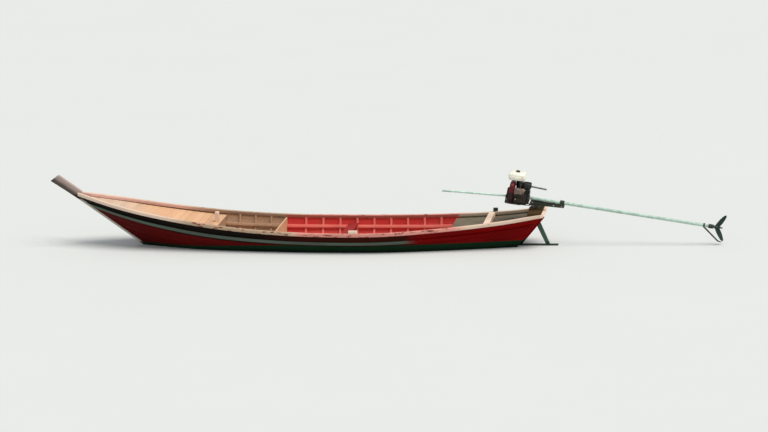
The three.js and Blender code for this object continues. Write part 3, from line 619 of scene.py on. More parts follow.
def inside(x, t, depth, side=1):
    """That surface moved into the hull by a depth square to it, its y multiplied by side."""
    t = min(1, max(0, t))
    x_low, x_high = max(AFT, x - 0.001), min(FORE, x + 0.001)
    t_low, t_high = max(0, t - 0.01), min(1, t + 0.01)
    up = outside(x, t_high) - outside(x, t_low)
    ahead = outside(x_high, t) - outside(x_low, t)
    p = outside(x, t)
    q = p - up.cross(ahead).normalized() * depth
    if t == 1:
        q.z = station(q.x).sheer_z if AFT < q.x < FORE else p.z
    q.y = max(q.y, KEEL_HALF + SEAT)
    q.y *= side
    return q


def stops(low, high, gap):
    """Even stops from low to high, about a gap apart."""
    count = max(1, round((high - low) / gap))
    return [low + (high - low) * i / count for i in range(count + 1)]


def foredeck_ends():
    """Where the foredeck's boards meet, from its aft edge to the stem."""
    return stops(BULKHEADS.fore - DECK.lap, DECK.fore, bpy.context.scene.longtail_hull.board)


# Meshes
def round_of(count):
    """Cosine and sine of even steps round a circle."""
    angles = [math.tau * i / count for i in range(count)]
    return [(math.cos(a), math.sin(a)) for a in angles]


def rounded(u, v, r, steps=2):
    """Corner-rounded outline of a rectangle from u[0], v[0] to u[1], v[1]."""
    corners = ((u[1] - r, v[1] - r, 0), (u[0] + r, v[1] - r, 90),
               (u[0] + r, v[0] + r, 180), (u[1] - r, v[0] + r, 270))
    made = []
    for (cu, cv, start), i in product(corners, range(steps + 1)):
        a = math.radians(start + 90 * i / steps)
        made.append((cu + r * math.cos(a), cv + r * math.sin(a)))
    return made


def smooth_path(points, steps=5):
    """Points of a smooth curve through the given ones, with steps between each two."""
    pts = [Vector(p) for p in points]
    pts = [2 * pts[0] - pts[1], *pts, 2 * pts[-1] - pts[-2]]
    made = []
    for k, i in product(range(1, len(pts) - 2), range(steps)):
        f = i / steps
        a, b, c, d = pts[k - 1:k + 3]
        made.append(0.5 * (2 * b + (c - a) * f + (2 * a - 5 * b + 4 * c - d) * f ** 2
                           + (3 * b - a - 3 * c + d) * f ** 3))
    return [*made, pts[-2]]


class Shape:
    """Points and faces of one piece, each face with the number of its finish."""

    def __init__(self):
        self.points = []
        self.faces = []
        self.finishes = []

    def add(self, other):
        """The faces of another shape too."""
        first = len(self.points)
        self.points += other.points
        self.faces += [[first + i for i in face] for face in other.faces]
        self.finishes += other.finishes

    def moved(self, matrix):
        self.points = [matrix @ p for p in self.points]
        return self

    def loft(self, rings, finish=0, ends=True):
        """Skin over rings of points. finish may be a function of the face's place round the ring."""
        n = len(rings[0])
        first = len(self.points)
        self.points += [Vector(p) for ring in rings for p in ring]
        for k, i in product(range(len(rings) - 1), range(n)):
            a, b = first + k * n + i, first + k * n + (i + 1) % n
            self.faces.append([a, b, b + n, a + n])
            self.finishes.append(finish(i) if callable(finish) else finish)
        if ends:
            for k in (0, len(rings) - 1):
                self.faces.append([first + k * n + i for i in range(n)])
                self.finishes.append(0 if callable(finish) else finish)
        return self

    def along_hull(self, section, xs, side=1, finish=0):
        """A section of rows and depths, carried along one side of the hull through the stops xs."""
        return self.loft([[inside(x, t, depth, side) for t, depth in section] for x in xs], finish)

    def block(self, low, high, r, edge=None, steps=4):
        """A block with round corners along x and softened ends."""
        edge = min(r, 0.004) if edge is None else edge
        rings = []
        for end, way in ((low[0], 1), (high[0], -1)):
            turn = []
            for i in range(4):
                a = math.radians(30 * i)
                inset = edge * (1 - math.sin(a))
                x = end + way * edge * (1 - math.cos(a))
                outline = rounded((low[1] + inset, high[1] - inset),
                                  (low[2] + inset, high[2] - inset), max(0.0005, r - inset), steps)
                turn.append([(x, y, z) for y, z in outline])
            rings += turn[::way]
        return self.loft(rings)

    def turned(self, at, towards, profile, sides=24, finish=0):
        """A turned form: profile is a list of distances along its axis and radii there."""
        turn = Vector(UP).rotation_difference(Vector(towards).normalized()).to_matrix()
        return self.loft([[Vector(at) + turn @ Vector((radius * c, radius * s, along))
                           for c, s in round_of(sides)] for along, radius in profile], finish)

    def pipe(self, path, radius, sides=12):
        """A round bar or pipe through the points of a path."""
        ahead = (path[1] - path[0]).normalized()
        side = ahead.orthogonal().normalized()
        rings = []
        for k, p in enumerate(path):
            new = (path[min(k + 1, len(path) - 1)] - path[max(k - 1, 0)]).normalized()
            side = (ahead.rotation_difference(new) @ side).normalized()
            ahead = new
            across = ahead.cross(side)
            rings.append([p + radius * (c * side + s * across) for c, s in round_of(sides)])
        return self.loft(rings)

    def bolt(self, at, towards, across=0.013):
        """A hexagon head on a washer."""
        self.turned(at, towards, [(0, across * 0.8), (0.0018, across * 0.8)], 12)
        r = across * 0.577
        return self.turned(at, towards, [(0.0018, r), (0.008, r), (0.0095, r * 0.8)], 6)

    def mesh(self, name):
        """The shape as a mesh, its faces looking outwards."""
        mesh = bpy.data.meshes.new(name)
        mesh.from_pydata(self.points, [], self.faces)
        mesh.polygons.foreach_set("material_index", self.finishes)
        bm = bmesh.new()
        bm.from_mesh(mesh)
        bmesh.ops.recalc_face_normals(bm, faces=bm.faces)
        bm.to_mesh(mesh)
        bm.free()
        return mesh


def piece(name, shape, finishes, replaces=(), slot=None, body="hull", bevel=0, sharp=35):
    """Puts a shape or mesh in the scene with its finishes, soft edges and body.

    The slot argument is not used.
    """
    mesh = shape.mesh(name) if isinstance(shape, Shape) else shape
    obj = bpy.data.objects.new(name, mesh)
    bpy.context.scene.collection.objects.link(obj)
    for finish in finishes:
        mesh.materials.append(finish())
    mesh.shade_smooth()
    mesh.set_sharp_from_angle(angle=math.radians(sharp))
    if bevel:
        soften = obj.modifiers.new("Soft edges", "BEVEL")
        soften.width = bevel
        soften.segments = 2
        soften.limit_method = "ANGLE"
        soften.angle_limit = math.radians(sharp)
    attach(obj, body)
    slot or finishes[0].slot
    if replaces:
        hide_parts(*replaces)


def on_tail(name, shape, finishes, replaces=(), place=TAIL, **more):
    """A piece on the tail, its shape measured from the tilt pin along the shaft."""
    piece(name, shape.moved(place), finishes, replaces, **{"body": "tail", **more})


def dressed(name, node, finishes, bevel=0.004, slot=None, body="hull", where=None):
    """A CAD node's own solid, with soft edges and a finish.

    Faces whose middle meets the test where get the second finish.
    """
    bm = bmesh.new()
    bm.from_mesh(frame["nodes"][node].data)
    bmesh.ops.remove_doubles(bm, verts=bm.verts, dist=1e-5)
    bmesh.ops.dissolve_limit(bm, angle_limit=math.radians(0.5), verts=bm.verts, edges=bm.edges)
    mesh = bpy.data.meshes.new(name)
    bm.to_mesh(mesh)
    bm.free()
    for polygon in mesh.polygons:
        polygon.material_index = int(where(polygon.center)) if where else 0
    piece(name, mesh, finishes, [node], slot, body, bevel)


# Hull pieces
def by_compartment(shape):
    """Keeps finish 1 in the hold. Makes it 2 in the fore well and 3 under the decks."""
    for k, face in enumerate(shape.faces):
        if shape.finishes[k] == 1:
            x = sum(shape.points[i].x for i in face) / len(face)
            if not BULKHEADS.aft < x < BULKHEADS.mid:
                shape.finishes[k] = 2 if BULKHEADS.mid <= x < BULKHEADS.fore else 3


def strakes(side, edges, outer_finishes):
    """Planks from transom to stem, their outer edges eased so that the seams show.

    The inner faces get finish 1 to 3, for the compartment that they are in.
    """
    seam, ease, back = 0.001, 0.005, 0.0025
    shape = Shape()
    for (low, high), outer_finish in zip(pairwise(edges), outer_finishes):
        outer = [(low + seam, back), (low + ease, 0)]
        outer += [(t, 0) for t in stops(low + ease, high - ease, 0.07)[1:-1]]
        outer += [(high - ease, 0), (high - seam, back)] if high < 1 else [(1, 0)]
        top = high - seam if high < 1 else high
        section = outer + [(t, PLANK) for t in reversed(stops(low + seam, top, 0.09))]
        inner_faces = range(len(outer), len(section) - 1)
        shape.along_hull(section, stops(AFT, FORE, 0.075), side,
                         lambda i: 1 if i in inner_faces else outer_finish)
    by_compartment(shape)
    return shape


def nails(side, rows):
    """Nail heads in upright rows: at ribs and bulkheads, and at like steps under the decks."""
    shape = Shape()
    for x, t in product(NAILED, rows):
        p = inside(x, t, -0.0002, side)
        out = p - inside(x, t, 0.01, side)
        shape.turned(p, out, [(-0.002, 0.005), (0.0004, 0.005), (0.0010, 0.003)], 8)
    return shape


class BoatOperator(bpy.types.Operator):
    """Shared settings of the boat's operators. main calls these in the order of the file."""
    bl_idname = "longtail.base"
    bl_label = "Longtail piece"
    bl_options = {"REGISTER", "UNDO"}


class LONGTAIL_OT_camera(BoatOperator):
    """Set the camera at the photograph's angle"""
    bl_idname = "longtail.camera"
    bl_label = "Camera"

    def execute(self, context):
        view = context.scene.longtail_stage
        back = Vector((-0.1527, 0.9643, 0.2164)).normalized()
        up = Vector((0, -0.219, 0.9757))
        right = up.cross(back).normalized()
        up = back.cross(right).normalized()
        place = Matrix((right, up, back)).transposed().to_4x4()
        place.translation = Vector(view.aim) + back * view.distance
        data = bpy.data.cameras.new("Camera")
        data.lens = view.lens
        data.clip_end = 500
        camera = bpy.data.objects.new("Camera", data)
        camera.matrix_world = place
        context.scene.collection.objects.link(camera)
        context.scene.camera = camera
        return {"FINISHED"}


class LONGTAIL_OT_planking(BoatOperator):
    """Plank both sides of the hull and nail the planks"""
    bl_idname = "longtail.planking"
    bl_label = "Planking"

    def execute(self, context):
        nodes = ("stern_planking", "hold_bottom_planks", "hold_side_planks", "well_bottom_planks",
                 "well_side_planks", "bow_planking")
        inner = [hold_paint, tan_wood, grey_wood]
        rows = [0.04, *(t + shift for t in STRAKE_EDGES[1:-1] for shift in (-0.03, 0.03))]
        for name, side in SIDES.items():
            piece(f"planking_{name}", strakes(side, STRAKE_EDGES, (0, 0, 0, 0, 0, 4)),
                  [hull_paint, *inner, sheer_paint], [f"{node}_{name}" for node in nodes])
            piece(f"top_strake_{name}", strakes(side, (STRAKE_EDGES[-1], 1), (0,)),
                  [sheer_paint, *inner], [f"sheer_strake_{name}"])
            piece(f"plank_nails_{name}", nails(side, rows), [nail_iron])
        return {"FINISHED"}


class LONGTAIL_OT_rails(BoatOperator):
    """Lay the cap rails, rubbing strakes and stringers"""
    bl_idname = "longtail.rails"
    bl_label = "Rails"

    def execute(self, context):
        rail = rounded(RAIL.across, RAIL.up, 0.012, 3)
        inner_faces = range(6, 9)
        rub = rounded(RUB.rows, RUB.depths, 0.006)
        stringer = rounded(STRINGER.rows, STRINGER.depths, 0.005)
        lines = (stops(BULKHEADS.aft + STRINGER.gap, BULKHEADS.mid, 0.08)
                 + stops(BULKHEADS.mid, BULKHEADS.fore - STRINGER.gap, 0.08)[1:])
        for name, side in SIDES.items():
            rings = []
            for x in stops(RAIL.aft, FORE, 0.07):
                top = outside(x, 1)
                rings.append([(top.x, max(KEEL_HALF + SEAT, top.y + out) * side, top.z + up)
                              for out, up in rail])
            shape = Shape().loft(rings, lambda i: int(i in inner_faces))
            piece(f"cap_rail_{name}", shape, [rail_paint, inner_rail_paint_and_shade],
                  [f"gunwale_rail_{name}"])
            shape = Shape().along_hull(rub, stops(RUB.aft, RUB.fore, 0.07), side)
            piece(f"rubbing_strake_{name}", shape, [stripe_paint], [f"rub_strake_{name}"])
            shape = Shape().along_hull(stringer, lines, side, 1)
            by_compartment(shape)
            piece(f"inner_stringer_{name}", shape, [grey_wood, frame_paint_and_highlight, tan_wood],
                  [f"stringer_{name}"], "hold_red_paint")
        return {"FINISHED"}


def rib(shape, x):
    """One rib from rail to rail, with a level floor timber in its middle."""
    half = stops(0.02, 1, 0.035)
    inner_face = 0.04
    rings = []
    for t in [-t for t in reversed(half)] + half:
        ring = []
        for shift, depth in rounded(RIB.along, RIB.depths, 0.006):
            p = inside(x + shift, abs(t), depth, math.copysign(1, t))
            if depth > inner_face:
                p.z = max(p.z, FLOOR_UNDER - (RIB.depths[1] - depth))
            ring.append(p)
        rings.append(ring)
    shape.loft(rings)


def keelson(shape, low, high):
    """The timber that ties the ribs over the keel."""
    feet = [outside(x, 0) for x in stops(low, high, 0.1)]
    section = rounded(KEELSON.across, KEELSON.up, 0.006)
    shape.loft([[(p.x, y, p.z + up) for y, up in section] for p in feet])


class LONGTAIL_OT_frames(BoatOperator):
    """Set the ribs of the hold and of the fore well"""
    bl_idname = "longtail.frames"
    bl_label = "Ribs"

    def execute(self, context):
        for node, lines, finish in (("hold_ribs", HOLD_RIBS, frame_paint_and_highlight),
                                    ("well_ribs", WELL_RIBS, tan_wood)):
            shape = Shape()
            for x in lines:
                rib(shape, x)
            keelson(shape, lines[0] - KEELSON.past, lines[-1] + KEELSON.past)
            piece(f"{node}_shaped", shape, [finish], [node])
        return {"FINISHED"}


def deck_board(shape, xs, parts, r=0.004):
    """A board of a deck: xs along the hull, parts of the half breadth, upper edges eased by r."""
    girth, half_breadth = 0.9, 0.45
    athwart = parts == (-1, 1)
    low, high = xs if athwart else parts
    inset = r if athwart else r / half_breadth
    foot, top = DECK.rows
    soft = top - r / girth
    section = [(low, foot), (high, foot), (high, soft), (high - inset, top), (low + inset, top),
               (low, soft)]
    depth = PLANK + 2 * SEAT
    if athwart:
        rings = [[inside(x, t, depth, part) for x, t in section] for part in stops(-1, 1, 0.25)]
    else:
        rings = [[inside(x, t, depth, part) for part, t in section] for x in stops(*xs, 0.08)]
    shape.loft(rings)


class LONGTAIL_OT_decks(BoatOperator):
    """Lay the foredeck's boards athwart and the stern deck's boards lengthwise"""
    bl_idname = "longtail.decks"
    bl_label = "Decks"

    def execute(self, context):
        fore_gap, stern_gap, stern_boards = 0.006, 0.010, 7
        shape = Shape()
        for a, b in pairwise(foredeck_ends()):
            deck_board(shape, (a, b - fore_gap), (-1, 1), 0.006)
        piece("foredeck_boards", shape, [deck_paint], ["foredeck"])
        shape = Shape()
        for a, b in pairwise(stops(-1, 1, 2 / stern_boards)):
            deck_board(shape, (DECK.aft, BULKHEADS.aft + DECK.lap), (a, b - stern_gap))
        piece("stern_deck_boards", shape, [grey_wood], ["stern_deck"])
        return {"FINISHED"}


class LONGTAIL_OT_backbone(BoatOperator):
    """Set up keel, stem, stern post, transom and stern rail"""
    bl_idname = "longtail.backbone"
    bl_label = "Keel, stem and transom"

    def execute(self, context):
        dressed("keel_timber", "keel", [hull_paint], slot="bottom_green_paint")
        dressed("stem_timber", "stem", [stem_paint], 0.008)
        dressed("stern_post_timber", "stern_post", [hull_paint], 0.005)
        dressed("transom_boards", "transom", [hull_paint], 0.003)
        dressed("stern_cap", "stern_rail", [cream_paint], 0.010)
        return {"FINISHED"}


class LONGTAIL_OT_inside(BoatOperator):
    """Fit bulkheads, floors and thwart"""
    bl_idname = "longtail.inside"
    bl_label = "Bulkheads and floors"

    def execute(self, context):
        dressed("fore_bulkhead_boards", "fore_bulkhead", [tan_wood], 0.002, "peach_paint")
        dressed("mid_bulkhead_boards", "mid_bulkhead", [deck_paint], 0.003)
        dressed("aft_bulkhead_boards", "aft_bulkhead", [grey_wood], 0.002)
        dressed("hold_floor_boards", "hold_floor", [tan_wood], 0.003)
        dressed("well_floor_boards", "well_floor", [tan_wood], 0.003)
        dressed("thwart_board", "thwart", [thwart_paint], 0.006)
        return {"FINISHED"}


class LONGTAIL_OT_deck_fittings(BoatOperator):
    """Set the mooring post, thole block, bitt, beams and squat board in their places"""
    bl_idname = "longtail.deck_fittings"
    bl_label = "Deck fittings"

    def execute(self, context):
        dressed("bow_post", "mooring_post", [cream_paint], 0.010)
        dressed("thole_timber", "thole_block", [cream_paint], 0.008)
        dressed("stern_cleat", "stern_bitt", [dark_steel], 0.006)
        dressed("stern_cross_beam", "stern_beam", [cream_paint], 0.008)
        dressed("squat_board_timber", "squat_board", [wet_wood])
        dressed("engine_beam_timber", "engine_beam", [dark_wood], 0.006)
        return {"FINISHED"}


# Engine and tail pieces
class LONGTAIL_OT_swivel(BoatOperator):
    """Fit the socket and the swivelling fork"""
    bl_idname = "longtail.swivel"
    bl_label = "Swivel"

    def execute(self, context):
        plate_top, reach = 0.6545, (-0.047, 0.047)
        dressed("swivel_plate", "swivel_socket", [dark_steel], 0.0015)
        shape = Shape()
        for x, y in product(reach, reach):
            shape.turned((PIVOT.x + x, y, plate_top), UP,
                         [(0, 0.0045), (0.0040, 0.0085), (0.0042, 0.0083)], 16)
        piece("swivel_plate_screws", shape, [zinc], slot="dark_steel")
        dressed("fork_plates", "swivel_fork", [dark_steel], 0.0015, body="swivel")
        return {"FINISHED"}


class LONGTAIL_OT_tail_frame(BoatOperator):
    """Bolt up the steel frame that carries engine and tube"""
    bl_idname = "longtail.tail_frame"
    bl_label = "Engine frame"

    def execute(self, context):
        dressed("frame_plates", "engine_frame", [dark_steel], 0.0015, body="tail")
        low_bar, high_bar = FOOT - 0.022, AXIS - 0.056
        shape = Shape()
        places = ((0.490, low_bar), (0.330, low_bar), (0.060, high_bar), (-0.300, high_bar),
                  (-0.437, high_bar))
        for side, (x, z) in product((-1, 1), places):
            shape.bolt((x, side * 0.062, z), (0, side, 0), 0.016)
        for x, y in product((0.210, 0.360), (-0.088, 0.088)):
            shape.bolt((x, y, FOOT - 0.010), (0, 0, -1), 0.014)
        on_tail("frame_bolts", shape, [zinc], slot="dark_steel")
        return {"FINISHED"}


def crankcase():
    """Crankcase and reduction housing, with the bolts round the shaft and the oil plug."""
    to_tail = TAIL.inverted()
    dressed("crankcase_casting", "crankcase", [oily_casting, sooty_black], 0.002, body="tail",
            where=lambda p: (to_tail @ p).z > AXIS + 0.097)
    dressed("reduction_housing", "drive_housing", [sooty_black], 0.002, body="tail")
    shape = Shape()
    for c, s in round_of(6):
        shape.bolt((0.1295, 0.075 * c, AXIS + 0.075 * s), BACK, 0.010)
    shape.turned((0.355, 0.1175, AXIS - 0.03), TO_PORT,
                 [(0, 0.014), (0.010, 0.014), (0.012, 0.009), (0.022, 0.009), (0.024, 0.006)], 16)
    on_tail("crankcase_bolts", shape, [zinc])


def cylinder():
    """Finned cylinder that leans to port, with its head, bolts and spark plug boot."""
    lean = Matrix.Translation((0.300, 0, AXIS + 0.020)) @ Matrix.Rotation(math.radians(25), 4, "X")
    place = TAIL @ lean
    head, fin_gap, fin_thick = 0.264, 0.0114, 0.0035
    shape = Shape().block((-0.062, 0.128, -0.058), (0.062, 0.236, 0.058), 0.012)
    for i in range(9):
        y = 0.133 + fin_gap * i
        shape.block((-0.083, y, -0.069), (0.083, y + fin_thick, 0.069), 0.0016, 0.0012, 2)
    shape.block((-0.052, 0.230, -0.050), (0.052, head, 0.050), 0.016, 0.006)
    on_tail("cylinder_fins", shape, [cast_alloy], ["cylinder"], place)
    shape = Shape()
    for x, z in product((-0.038, 0.038), (-0.036, 0.036)):
        shape.bolt((x, head, z), TO_PORT, 0.009)
    on_tail("head_bolts", shape, [zinc], place=place)
    boot = [(0, 0.010), (0.005, 0.010), (0.007, 0.006)]
    shape = Shape().turned((0, head - 0.001, 0), TO_PORT, boot, 12)
    on_tail("spark_plug_boot", shape, [black_plastic], place=place)


def starter():
    """Fan housing and recoil starter on the engine's front."""
    low, high = (0.3955, -0.150, FOOT + 0.006), (0.471, 0.205, AXIS + 0.245)
    on_tail("fan_housing", Shape().block(low, high, 0.090, 0.014, 8), [shroud_paint], ["fan_shroud"])
    middle = (0, 0, CRANK)
    shape = Shape().turned(middle, AHEAD, [
        (0.4715, 0.116), (0.4715, 0.118), (0.477, 0.1175), (0.494, 0.110), (0.511, 0.096),
        (0.5145, 0.090), (0.515, 0.040), (0.5115, 0.036), (0.5115, 0.001)], 40)
    shape.turned(middle, AHEAD, [(0.511, 0.030), (0.5148, 0.029), (0.5148, 0.001)], 24)
    on_tail("starter_cover", shape, [shroud_paint], ["recoil_cover"])
    shape = Shape()
    for (c, s), r in product(round_of(18), (0.050, 0.064, 0.078)):
        shape.turned((0.5143, r * c, CRANK + r * s), AHEAD, [(0, 0.0042), (0.0008, 0.0042)], 8)
    on_tail("starter_slots", shape, [black_plastic])
    shape = Shape()
    shape.block((0.470, 0.104, AXIS + 0.128), (0.486, 0.122, AXIS + 0.146), 0.004, 0.002)
    shape.block((0.485, 0.088, AXIS + 0.129), (0.500, 0.138, AXIS + 0.145), 0.006, 0.004)
    on_tail("starter_pull", shape, [black_plastic])


def intake():
    """Air cleaner with its neck and knob, and the fuel tap with its pipe."""
    shape = Shape()
    shape.block((0.252, -0.232, AXIS + 0.066), (0.388, -0.156, AXIS + 0.222), 0.026, 0.008, 5)
    shape.block((0.300, -0.160, AXIS + 0.040), (0.350, -0.1125, AXIS + 0.092), 0.012, 0.004)
    shape.turned((0.320, -0.2318, AXIS + 0.144), TO_STARBOARD,
                 [(-0.006, 0.014), (-0.002, 0.014), (0.0, 0.010)], 16)
    on_tail("air_filter_box", shape, [black_plastic], ["air_cleaner"])
    shape = Shape()
    shape.block((0.270, -0.114, AXIS + 0.252), (0.292, -0.096, AXIS + 0.288), 0.005, 0.003)
    shape.turned((0.281, -0.113, AXIS + 0.264), TO_STARBOARD,
                 [(0, 0.007), (0.006, 0.007), (0.007, 0.004), (0.012, 0.004)], 12)
    shape.pipe(smooth_path([(0.281, -0.105, AXIS + 0.254), (0.284, -0.112, AXIS + 0.190),
                            (0.312, -0.134, AXIS + 0.130), (0.318, -0.136, AXIS + 0.090)]), 0.004, 8)
    on_tail("fuel_tap", shape, [zinc])


def exhaust():
    """Silencer with its guard and bracket, and the pipe that leads aft from it."""
    dressed("silencer_body", "muffler", [sooty_black], 0.0015, body="tail")
    shape = Shape()
    shape.block((0.126, 0.034, AXIS + 0.2755), (0.224, 0.134, AXIS + 0.2792), 0.003, 0.001)
    for i in range(6):
        y = 0.040 + 0.016 * i
        shape.block((0.134, y, AXIS + 0.279), (0.216, y + 0.007, AXIS + 0.2815), 0.001, 0.001, 2)
    shape.block((0.158, 0.090, AXIS + 0.100), (0.206, 0.098, AXIS + 0.182), 0.002, 0.001)
    on_tail("silencer_guard", shape, [sooty_black])
    start, end = Vector((0.1147, 0.086, AXIS + 0.220)), Vector((-0.150, 0.086, AXIS + 0.207))
    way = end - start
    length, radius, bore = way.length, 0.0148, 0.0118
    shape = Shape().turned(start, way, [(0, radius), (length, radius), (length, bore),
                                        (length - 0.05, bore)], 20)
    shape.turned(start, way, [(0.001, 0.024), (0.005, 0.024)], 20)
    on_tail("exhaust_stub", shape, [dull_steel], ["exhaust_pipe"])


class LONGTAIL_OT_engine(BoatOperator):
    """Assemble the petrol engine on its frame"""
    bl_idname = "longtail.engine"
    bl_label = "Engine"

    def execute(self, context):
        crankcase()
        cylinder()
        starter()
        intake()
        exhaust()
        return {"FINISHED"}


class LONGTAIL_OT_tank(BoatOperator):
    """Fit the fuel tank with its seam and cap"""
    bl_idname = "longtail.tank"
    bl_label = "Fuel tank"

    def execute(self, context):
        low, high = Vector((0.238, -0.132, AXIS + 0.286)), Vector((0.516, 0.148, AXIS + 0.416))
        seam, lip = low.z + 0.060, 0.005
        shape = Shape().block(low, high, 0.046, 0.026, 6)
        shape.block((low.x - lip, low.y - lip, seam), (high.x + lip, high.y + lip, seam + lip),
                    0.0022, 0.002, 3)
        on_tail("tank_shell", shape, [tank_paint], ["fuel_tank"])
        x, top = 0.377, high.z
        shape = Shape().turned((x, 0, top), UP, [
            (0.0005, 0.034), (0.014, 0.034), (0.020, 0.031), (0.024, 0.026), (0.024, 0.001)], 32)
        for c, s in round_of(16):
            shape.turned((x + 0.0335 * c, 0.0335 * s, top + 0.003), UP,
                         [(0, 0.0022), (0.010, 0.0022)], 6)
        on_tail("tank_cap", shape, [black_plastic], ["filler_cap"])
        return {"FINISHED"}


class LONGTAIL_OT_tail_tube(BoatOperator):
    """Run the tail tube to its bearing and fit the guard"""
    bl_idname = "longtail.tail_tube"
    bl_label = "Tail tube"

    def execute(self, context):
        at = (0, 0, AXIS)
        tube = [(0.121, 0.024), (0.121, 0.027), (0.05, 0.027), (-1.0, 0.027), (-2.0, 0.027),
                (-2.932, 0.027)]
        bearing = [tube[-1], (-2.934, 0.036), (-2.940, 0.037), (-2.985, 0.037), (-3.020, 0.033),
                   (-3.025, 0.030), (-3.025, 0.0125), (-2.98, 0.0125)]
        shape = Shape().turned(at, AHEAD, tube, 32).turned(at, AHEAD, bearing, 32, 1)
        for x in (-0.62, -1.42, -2.22):
            shape.turned((x, 0, AXIS), AHEAD, [(-0.004, 0.0272), (-0.002, 0.0292), (0.002, 0.0292),
                                               (0.004, 0.0272)], 32)
        on_tail("tail_pipe", shape, [pipe_metal, dark_steel], ["tail_tube"])
        dressed("blade_guard", "prop_guard", [guard_metal], 0.0015, body="tail")
        return {"FINISHED"}


def blade():
    """One blade, upright: sections from its root to its tip, which rakes back."""
    tip, rake, chord, thick, round_from = 0.225, 0.58, 0.130, 0.009, 0.86
    rings = []
    for span in (*stops(0.09, 0.87, 0.05), 0.91, 0.94, 0.965, 0.985, 0.996, 1):
        r = span * tip
        tip_round = math.sqrt(max(0.02, 1 - max(0, (span - round_from) / 0.14) ** 2))
        half = chord * (0.62 + 0.9 * span - 1.05 * span ** 2) * 0.5 * tip_round
        pitch = math.radians(62 - 24 * span)
        ring = []
        for edge, face in round_of(16):
            bulge = thick * 0.5 * (1.15 - 0.75 * span) * face
            ring.append((-rake * r - edge * half * math.sin(pitch) + bulge * math.cos(pitch),
                         edge * half * math.cos(pitch) + bulge * math.sin(pitch), r))
        rings.append(ring)
    return Shape().loft(rings)


class LONGTAIL_OT_propeller(BoatOperator):
    """Shape the two-bladed propeller on its shaft end"""
    bl_idname = "longtail.propeller"
    bl_label = "Propeller"

    def execute(self, context):
        at = (-3.070, 0, AXIS)
        shape = Shape().turned(at, AHEAD, [
            (-0.100, 0.010), (-0.098, 0.012), (-0.062, 0.012), (-0.060, 0.018), (-0.046, 0.018),
            (-0.044, 0.0225), (-0.02, 0.026), (0.02, 0.028), (0.038, 0.0275), (0.040, 0.024),
            (0.040, 0.012), (0.089, 0.012)], 32)
        for turn in (0, math.pi):
            shape.add(blade().moved(Matrix.Translation(at) @ Matrix.Rotation(turn, 4, "X")))
        on_tail("propeller_casting", shape, [blade_metal], ["propeller"], body="propeller", sharp=45)
        return {"FINISHED"}


class LONGTAIL_OT_handle(BoatOperator):
    """Fit the steering pole with its grip"""
    bl_idname = "longtail.handle"
    bl_label = "Steering handle"

    def execute(self, context):
        start, end = Vector((0.532, 0, 0.042)), Vector((1.470, 0, -0.028))
        way = end - start
        length = way.length
        shape = Shape().turned(start, way, [(0, 0.0155), (0.001, 0.016), (length, 0.016)], 24)
        on_tail("steering_pole", shape, [mint_paint], ["handle_pole"])
        profile = [(length + 0.0006, 0.0175), (length + 0.0006, 0.020), (length + 0.004, 0.0205)]
        rib, groove = 0.0188, 0.0176
        for i in range(12):
            at = length + 0.012 + 0.011 * i
            profile += [(at, rib), (at + 0.002, groove), (at + 0.006, groove), (at + 0.008, rib)]
        profile += [(length + 0.146, 0.019), (length + 0.148, 0.014), (length + 0.148, 0.001)]
        on_tail("hand_grip", Shape().turned(start, way, profile), [grip_rubber], ["handle_grip"])
        return {"FINISHED"}


# Stage
def lay_floor(paint):
    """A wide floor with a hole in the shape of the hull's waterline, to leave the hold open."""
    ring = []
    for x in stops(AFT, FORE, 0.1):
        low, high = 0.0, 1.0
        for _ in range(20):
            t = (low + high) / 2
            low, high = (t, high) if inside(x, t, PLANK / 2).z < 0 else (low, t)
        ring.append(inside(x, low, PLANK / 2))
    hole = [(p.x, p.y, 0) for p in ring] + [(p.x, -p.y, 0) for p in reversed(ring)]
    far = [Vector((x, y * 6, 0)).normalized() * 400 for x, y, _ in hole]
    shape = Shape().loft([hole, far], ends=False)
    f = Finish("floor_paint")
    mesh = bpy.data.meshes.new("floor")
    mesh.from_pydata(shape.points, [], shape.faces)
    mesh.materials.append(f.finish(f.shade(paint, 0.99 + 0.02 * f.noise(0.4, detail=3)), 0.9))
    floor = bpy.data.objects.new("floor", mesh)
    bpy.context.scene.collection.objects.link(floor)
    floor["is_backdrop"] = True


class LONGTAIL_OT_stage(BoatOperator):
    """Lay the pale floor at the waterline's height and set the lights"""
    bl_idname = "longtail.stage"
    bl_label = "Stage"

    def execute(self, context):
        stage = context.scene.longtail_stage
        lay_floor(stage.floor)
        world = bpy.data.worlds.new("Studio")
        world.use_nodes = True
        back = world.node_tree.nodes["Background"]
        back.inputs["Color"].default_value = (0.92, 0.96, 1, 1)
        back.inputs["Strength"].default_value = stage.sky
        context.scene.world = world
        sun = bpy.data.lights.new("Key light", "SUN")
        sun.energy = stage.key
        sun.angle = math.radians(40)
        sun.color = (1, 0.96, 0.9)
        lamp = bpy.data.objects.new("Key light", sun)
        lamp.rotation_euler = Vector(stage.key_from).to_track_quat("Z", "Y").to_euler()
        context.scene.collection.objects.link(lamp)
        context.scene.view_settings.view_transform = "Standard"
        context.scene.view_settings.look = "None"
        return {"FINISHED"}


# Settings
def number(name, description, default, **limits):
    return FloatProperty(name=name, description=description, default=default, **limits)


def three(name, description, default, **kind):
    return FloatVectorProperty(name=name, description=description, default=default, size=3, **kind)


def colour(name, description, default):
    return three(name, description, default, subtype="COLOR", min=0, max=1)


